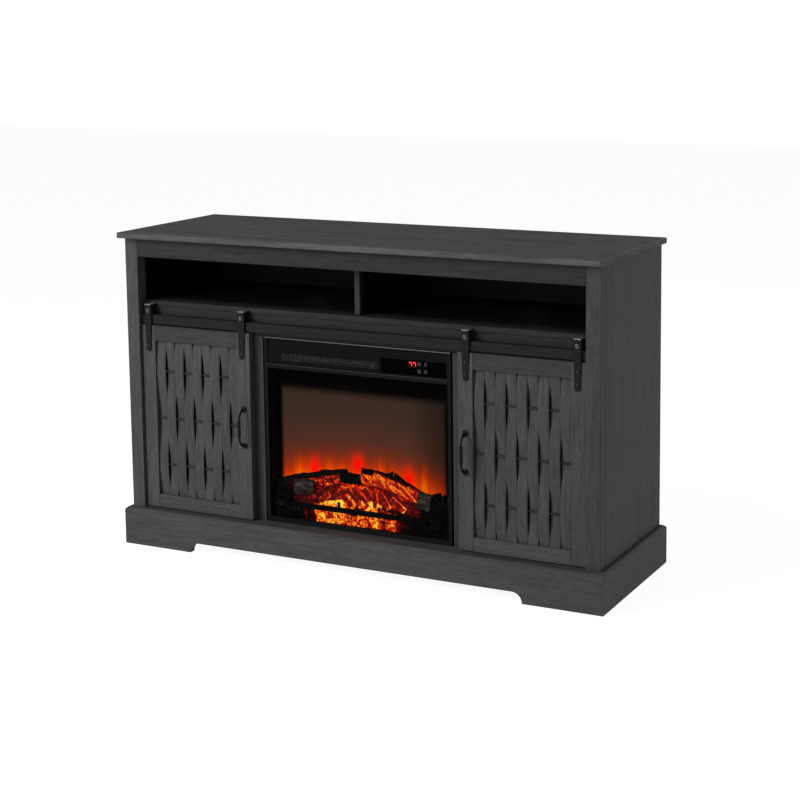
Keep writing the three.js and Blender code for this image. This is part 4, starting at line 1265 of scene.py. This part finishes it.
def make_trim():
    """The strip under the band with a dull line on it, and a painted highlight along the bezel's
    top edge.
    """
    low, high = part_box("firebox_bezel")
    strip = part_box("firebox_glass")[1].z + STRIP_ABOVE_GLASS
    strip_top = strip + STRIP_TALL

    def line(name, finish, inset, foot, top, proud=1.4 * TRIM_PROUD, sunk=0.3 * MM, eased=0.3 * MM):
        span = ((low.x + inset, low.y - proud, foot), (high.x - inset, low.y + sunk, top))
        box_piece(f"bezel_{name}", [span], eased, finish, CABINET)

    line("mid_strip", "trim", BEZEL_RIM, strip, strip_top, TRIM_PROUD, 0.4 * MM, 0.5 * MM)
    line("mid_line", "dull_trim", BEZEL_RIM, strip_top - 1.6 * MM, strip_top)
    # Painted highlight: a light grey line where the bezel's top edge catches the light
    line("top_line", "top_edge_highlight", 1 * MM, high.z - 2.4 * MM, high.z - 0.2 * MM)


DIGIT_WIDE = 7.2 * MM
DIGIT_TALL = 8.6 * MM
DIGIT_HALF_BAR = 0.95 * MM
DIGIT_GAP = 0.35 * MM
DIGIT_THICK = 0.4 * MM
DIGIT_PLACES = (3.6 * MM, 14.4 * MM)


def make_display():
    """Two sevens of three bars each: the top one and the two down the right."""
    low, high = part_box("display_module")
    front = low.y - 0.35 * MM
    bar, gap = DIGIT_HALF_BAR, DIGIT_GAP
    z = (low.z + high.z) / 2 - DIGIT_TALL / 2 + 0.6 * MM
    top, spans = z + DIGIT_TALL, []
    for place in DIGIT_PLACES:
        x = low.x + place
        right = x + DIGIT_WIDE
        corners = [((x + gap, top - bar), (right - gap, top + bar))]
        for foot in (z + DIGIT_TALL / 2, z):
            corners.append(((right - bar, foot + gap), (right + bar, foot + DIGIT_TALL / 2 - gap)))
        for (x0, z0), (x1, z1) in corners:
            spans.append(((x0, front, z0), (x1, front + DIGIT_THICK, z1)))
    box_piece("display_digits", spans, 0.12 * MM, "digit", CABINET, segments=1)


def arc(radius, start, turn, steps=20):
    turns = [start + turn * i / steps for i in range(steps + 1)]
    return [(radius * math.cos(a), radius * math.sin(a)) for a in turns]


def flame_outline():
    outline = []
    for i in range(25):
        a = 2 * math.pi * i / 24.5 - math.pi / 2
        up = max(0.0, math.sin(a))
        across = 2.1 * math.cos(a) * (1 - 0.35 * up)
        outline.append((across, -0.6 + 2.3 * math.sin(a) * (1 + 0.55 * up ** 3)))
    return outline


ICON = 1.55 * MM
ICON_LINE = 0.5 * MM
# The lines of each key's icon, from its middle, in units of ICON
ICONS = {
    "timer": [arc(2.8, 0.0, 2 * math.pi - 0.05), [(0, 1.8), (0, 0), (1.3, -0.6)]],
    "power": [arc(2.6, math.radians(125), math.radians(290)), [(0, 0.6), (0, 3.4)]],
    "heat": [
        [(x + 0.5 * math.sin(k * 1.1), -2.8 + 0.8 * k) for k in range(8)] for x in (-2.0, 0, 2.0)
    ],
    "flame": [flame_outline()],
}
KEY_INSET = 1.4 * MM
KEY_FLANGE = 1.2 * MM


def make_button(name, icon):
    node = f"{name}_button"
    low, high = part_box(node)
    middle, front = (low + high) / 2, low.y - 0.05 * MM
    inset = Vector((KEY_INSET, 0, KEY_INSET))
    cap = bmesh.new()
    add_box(cap, low + inset, high - inset, 0.7 * MM, 3)
    add_box(cap, (low.x, high.y - KEY_FLANGE, low.z), high, 0.3 * MM, 1)
    piece(node + "_cap", cap, "gloss", node, [node])
    sign = bmesh.new()
    for line in icon:
        points = [(middle.x + x * ICON, front, middle.z + z * ICON) for x, z in line]
        add_tube(sign, points, [ICON_LINE] * len(points), 6)
    piece(node + "_sign", sign, "icon", node)


make_grille()
make_trim()
make_display()
for name, icon in ICONS.items():
    make_button(name, icon)

# Logs and embers, in the space of the moulded set

set_low, set_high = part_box("log_and_ember_set")
LOG_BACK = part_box("flame_screen")[0].y - 0.8 * MM
LOG_FRONT = set_low.y + 0.4 * MM
LOG_SIDES = 40
LOG_RINGS = 34
LOG_FLATNESS = 0.5
STICK_SIDES = 24
STICK_RINGS = 18
STICK_SQUARENESS = 0.45

# name: (ends, radii at them, finish, seed, roughness of the bark, bend if any), in millimetres
LOGS = {
    "left_long_log": (((-252, -138, 186), (-46, -137, 232)), (22, 21), "left_bark", 1, 0.13, 3),
    "left_lower_log": (((-236, -140, 152), (-56, -140, 196)), (20, 21), "left_under", 2, 0.14, 2),
    "middle_log": (((-60, -147, 233), (2, -147, 234)), (14, 13), "char", 3, 0.2),
    "right_split_log": (((0, -142, 243), (172, -141, 198)), (20, 20), "right_split", 4, 0.07, 10),
    "right_lower_log": (((-60, -139, 212), (174, -139, 182)), (22, 23), "right_under", 5, 0.12),
    "right_bottom_log": (((60, -143, 172), (176, -143, 156)), (13, 13), "right_under", 6, 0.12),
    "split_log_end": (((1, -147, 256), (36, -146, 254)), (9, 8), "char", 7, 0.16),
    "peak_splinter": (((62, -146, 240), (92, -146, 262)), (13, 3), "right_split", 8, 0.08),
    "peak_back": (((128, -146, 226), (96, -146, 262)), (14, 3), "right_split", 21, 0.08),
    "peak_tip": (((80, -150, 250), (94, -149, 267)), (8, 1.5), "char", 26, 0.12),
    "left_char_log": (((-253, -149, 138), (-172, -151, 130)), (20, 15), "char", 9, 0.34),
    "left_char_lump": (((-250, -149, 172), (-206, -151, 160)), (17, 13), "char", 22, 0.36),
    "right_char_log": (((160, -151, 132), (253, -148, 146)), (15, 22), "char", 10, 0.34),
    "far_right_log": (((204, -143, 188), (253, -143, 188)), (27, 28), "char", 11, 0.28),
    "far_right_low": (((176, -148, 158), (253, -148, 160)), (18, 20), "char", 24, 0.34),
    "left_grey_end": (((-194, -151, 195), (-137, -152.5, 201)), (18.5, 18.5), "ash", 18, 0.05),
    "right_grey_end": (((165, -151, 202), (202, -152, 196)), (21, 21), "ash", 19, 0.05),
}

# The split sticks: ends, half width and half depth, in millimetres
STICKS = {
    "stick_one": (((-76, -151, 184), (-28, -151, 208)), 8, 4),
    "stick_two": (((-66, -150, 198), (-24, -152, 162)), 9.5, 4),
    "stick_three": (((-40, -152, 209), (2, -154, 166)), 7.5, 4),
    "stick_four": (((-22, -154.5, 212), (6, -154.5, 182)), 8, 3.5),
    "stick_five": (((10, -153, 214), (34, -154.5, 186)), 9, 3.5),
    "stick_six": (((40, -151, 206), (44, -153, 166)), 8, 4),
    "stick_seven": (((56, -152, 208), (84, -154, 168)), 8, 3.5),
    "stick_eight": (((90, -152, 196), (128, -154, 168)), 7.5, 3.5),
    "stick_nine": (((-92, -152, 188), (-120, -153, 166)), 8, 4),
    "stick_ten": (((2, -154, 194), (26, -154.5, 168)), 6.5, 3.5),
}


def log_piece(name, bm, finish, smooth=False):
    piece(name, bm, finish, CABINET, ["log_and_ember_set"], smooth)


def between_glass_and_screen(y):
    return max(LOG_FRONT, min(LOG_BACK, y))


def make_log(name, ends, radii, finish, seed, knots, bend=0):
    """A log from end to end: rough bark round it, and a cut face at each end."""
    start, end = [Vector(place) for place in in_metres(ends)]
    points, sizes = [], []
    for i in range(LOG_RINGS + 1):
        t = i / LOG_RINGS
        point = start.lerp(end, t)
        point.z += bend * MM * math.sin(math.pi * t)
        points.append(point)
        sizes.append((radii[0] + (radii[1] - radii[0]) * t) * MM)
    bm = bmesh.new()
    for i, ring in enumerate(add_tube(bm, points, sizes, LOG_SIDES)):
        for a, vert in zip(angles(LOG_SIDES), ring):
            along = i / LOG_RINGS * 5 + seed * 7.3
            spot = Vector((math.cos(a) * 1.6, math.sin(a) * 1.6, along))
            lumps = noise.fractal(spot, 1.0, 2.0, 4) * knots * 1.8
            ridge = abs(math.sin(3.5 * a + 2.2 * noise.noise(spot * 0.9))) * 0.1
            out = (vert.co - points[i]) * (1 + lumps + ridge)
            out.y *= LOG_FLATNESS
            vert.co = points[i] + out
            vert.co.y = between_glass_and_screen(vert.co.y)
    log_piece(name, bm, finish, True)


def squared(part):
    """A sine or cosine, pushed outwards so that a ring of them is nearly a square."""
    return math.copysign(abs(part) ** STICK_SQUARENESS, part)


def make_stick(name, ends, half_wide, half_deep, seed):
    """A split stick of squared section. Its rim attribute is 1 along its edges, from the front."""
    start, end = [Vector(place) for place in in_metres(ends)]
    ahead = (end - start).normalized()
    across = ahead.cross(Vector((0, 1, 0))).normalized()
    deep = across.cross(ahead)
    bm = bmesh.new()
    rim = bm.verts.layers.float.new("rim")
    rings = []
    for i in range(STICK_RINGS + 1):
        t = i / STICK_RINGS
        from_middle = abs(2 * t - 1)
        ring = []
        for a in angles(STICK_SIDES):
            u, v = squared(math.cos(a)), squared(math.sin(a))
            rough = 1 + 0.16 * noise.noise(Vector((u * 1.5, v * 1.5, t * 6 + seed * 3.7)))
            size = (1 - 0.12 * from_middle) * rough * MM
            spot = start.lerp(end, t) + across * (u * half_wide * size)
            spot += deep * (v * half_deep * size)
            spot.y = between_glass_and_screen(spot.y)
            vert = bm.verts.new(spot)
            vert[rim] = max(abs(u) ** 3, 0.8 * from_middle ** 14)
            ring.append(vert)
        rings.append(ring)
    join_rings(bm, rings, closed=True)
    log_piece(name, bm, "stick")


for name, values in LOGS.items():
    make_log(name, *values)
for seed, (name, values) in enumerate(STICKS.items()):
    make_stick(name, *values, seed)

HEARTH_MIDDLE = EMBER_HOT[0]
HEARTH_HALF = 82 * MM
COAL_ROOM = 6 * MM
BED_COLUMNS, BED_ROWS = 120, 10


def make_ember_bed():
    """A lumpy slope under the logs. Returns the slope, for the coals that lie on it."""
    bm = bmesh.new()
    grid = []
    for j in range(BED_ROWS + 1):
        v = j / BED_ROWS
        y = LOG_FRONT + COAL_ROOM + (LOG_BACK - LOG_FRONT - COAL_ROOM - 1 * MM) * v
        spots = []
        for i in range(BED_COLUMNS + 1):
            x = set_low.x + (set_high.x - set_low.x) * (i / BED_COLUMNS)
            hearth = math.exp(-(((x - HEARTH_MIDDLE) / HEARTH_HALF) ** 4))
            z = set_low.z + (30 + (40 + 30 * hearth) * v ** 0.7) * MM
            z += 5 * MM * noise.fractal(Vector((x * 60, y * 60, 2.7)), 1.0, 2.0, 3)
            spots.append((x, y, z))
        grid.append(add_ring(bm, spots))
    for near, far in zip(grid, grid[1:]):
        for i in range(BED_COLUMNS):
            bm.faces.new((near[i], near[i + 1], far[i + 1], far[i]))
    slope = bpy.data.meshes.new("ember_slope")
    bm.to_mesh(slope)
    skirt = bmesh.ops.extrude_edge_only(bm, edges=open_edges(bm))
    for vert in verts_in(skirt["geom"]):
        vert.co.z = set_low.z
    bmesh.ops.holes_fill(bm, edges=open_edges(bm), sides=0)
    log_piece("ember_bed", bm, "ember", True)
    return slope


def open_edges(bm):
    return [edge for edge in bm.edges if edge.is_boundary]


def coal_shape():
    bm = bmesh.new()
    bmesh.ops.create_icosphere(bm, subdivisions=2, radius=1.0)
    for vert in bm.verts:
        vert.co *= 1 + 0.45 * noise.noise(vert.co * 1.4 + Vector((3.1, 0.4, 7.7)))
        vert.co.z *= 0.72
    return spare("coal", bm)


COALS.make(
    "ember_coals", "ember", CABINET, "glowing_embers", ["log_and_ember_set"], make_ember_bed(),
    Coal=coal_shape(), Seed=7, Crowding=9000.0, Smallest=3.4 * MM, Largest=6.8 * MM,
)

# Grate

GRATE_BAR = 14 * MM
GRATE_STEPS = 60
PEG_RISE = 14 * MM
PEG_HALF = 3.5 * MM
LEG_HALF = 4 * MM
PEG_PLACES = (-59 * MM, 59 * MM)
LEG_PLACES = (-150 * MM, 150 * MM)


def make_grate():
    low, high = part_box("log_grate")
    top = high.z - PEG_RISE
    foot = top - GRATE_BAR
    bm = bmesh.new()
    rings = []
    for i in range(GRATE_STEPS + 1):
        x = low.x + (high.x - low.x) * i / GRATE_STEPS
        worn = 0.6 * MM + 0.5 * MM * abs(noise.noise(Vector((i * 0.37, 0, 4))))
        rings.append(add_ring(bm, [
            (x, low.y, foot + worn), (x, low.y + worn, foot), (x, high.y, foot),
            (x, high.y, top), (x, low.y + worn, top), (x, low.y, top - worn),
        ]))
    join_rings(bm, rings, closed=True)
    for x in PEG_PLACES:
        add_box(bm, (x - PEG_HALF, low.y, top - 2 * MM), (x + PEG_HALF, high.y, high.z), 1.2 * MM)
    for x in LEG_PLACES:
        add_box(bm, (x - LEG_HALF, low.y, low.z), (x + LEG_HALF, high.y, foot + 2 * MM), 1.0 * MM)
    piece("log_grate_bars", bm, "soot", CABINET, ["log_grate"])


make_grate()

# Back: small screws round the back board

BACK_INSET = 8 * MM
BACK_FOOT_INSET = 22 * MM
BACK_ACROSS, BACK_UP = 9, 5


def make_back_screws():
    low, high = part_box("back_panel")
    left, right = low.x + BACK_INSET, high.x - BACK_INSET
    y = high.y - 0.1 * MM
    spots = []
    for i in range(BACK_ACROSS):
        x = left + (right - left) * i / (BACK_ACROSS - 1)
        spots += [(x, y, z) for z in (low.z + BACK_FOOT_INSET, high.z - BACK_INSET)]
    for i in range(1, BACK_UP):
        z = low.z + (high.z - low.z) * i / BACK_UP
        spots += [(x, y, z) for x in (left, right)]
    STUDS.make(
        "back_panel_screws", "iron", CABINET, "dark_iron", (), mesh_from("back_spots", spots),
        Fitting=SCREW, Facing=FACING_BACK, Seed=3, Size=1.0,
    )


make_back_screws()
for obj in SPARES:
    bpy.data.objects.remove(obj)

# Stage, light and camera


def seen_by(graph, *rays):
    """1 for these kinds of ray and 0 for the others."""
    path = graph.node("ShaderNodeLightPath")
    seen = path.other(rays[0])
    for ray in rays[1:]:
        seen = graph.math("MAXIMUM", seen, path.other(ray))
    return seen


def make_stage():
    far = FLOOR_REACH
    corners = [(-far, -far, 0), (far, -far, 0), (far, far, 0), (-far, far, 0)]
    floor = in_scene("floor", mesh_from("floor", corners, [(0, 1, 2, 3)]))
    made = bpy.data.materials.new("pale_floor")
    graph = fresh_graph(made)
    seen = seen_by(graph, "Is Camera Ray", "Is Glossy Ray", "Is Transmission Ray")
    pale = graph.node("ShaderNodeBsdfDiffuse", {"Color": linear(242, 242, 242)})
    white = graph.node("ShaderNodeEmission", {"Color": WHITE, "Strength": FLOOR_GLOW})
    share = seen * FLOOR_GLOW_SHARE
    graph.show(graph.node("ShaderNodeMixShader", {0: share, 1: pale, 2: white}))
    paint(floor, made)


def make_sky():
    world = bpy.data.worlds.new("studio")
    bpy.context.scene.world = world
    graph = fresh_graph(world)
    seen = seen_by(graph, "Is Camera Ray", "Is Transmission Ray")
    strength = SKY_STRENGTH + seen * (1 - SKY_STRENGTH)
    sky = graph.node("ShaderNodeBackground", {"Color": WHITE, "Strength": strength})
    graph.show(sky, "ShaderNodeOutputWorld")


def make_lamps():
    for name, (place, target, size, watts) in STUDIO_LAMPS.items():
        data = bpy.data.lights.new(name, "AREA")
        data.shape = "SQUARE"
        data.size = size
        data.energy = watts
        lamp = in_scene(name, data)
        lamp.location = place
        away = Vector(target) - Vector(place)
        lamp.rotation_euler = away.to_track_quat("-Z", "Y").to_euler()


def make_camera():
    data = bpy.data.cameras.new("photo_camera")
    data.sensor_width = 36
    data.lens = CAMERA_LENS_MM
    data.shift_x, data.shift_y = CAMERA_SHIFT
    camera = in_scene("photo_camera", data)
    camera.location = CAMERA_PLACE
    camera.rotation_euler = [math.radians(turn) for turn in CAMERA_TURN_DEG]
    bpy.context.scene.camera = camera


make_stage()
make_sky()
make_lamps()
make_camera()
bpy.context.scene.view_settings.view_transform = "Standard"
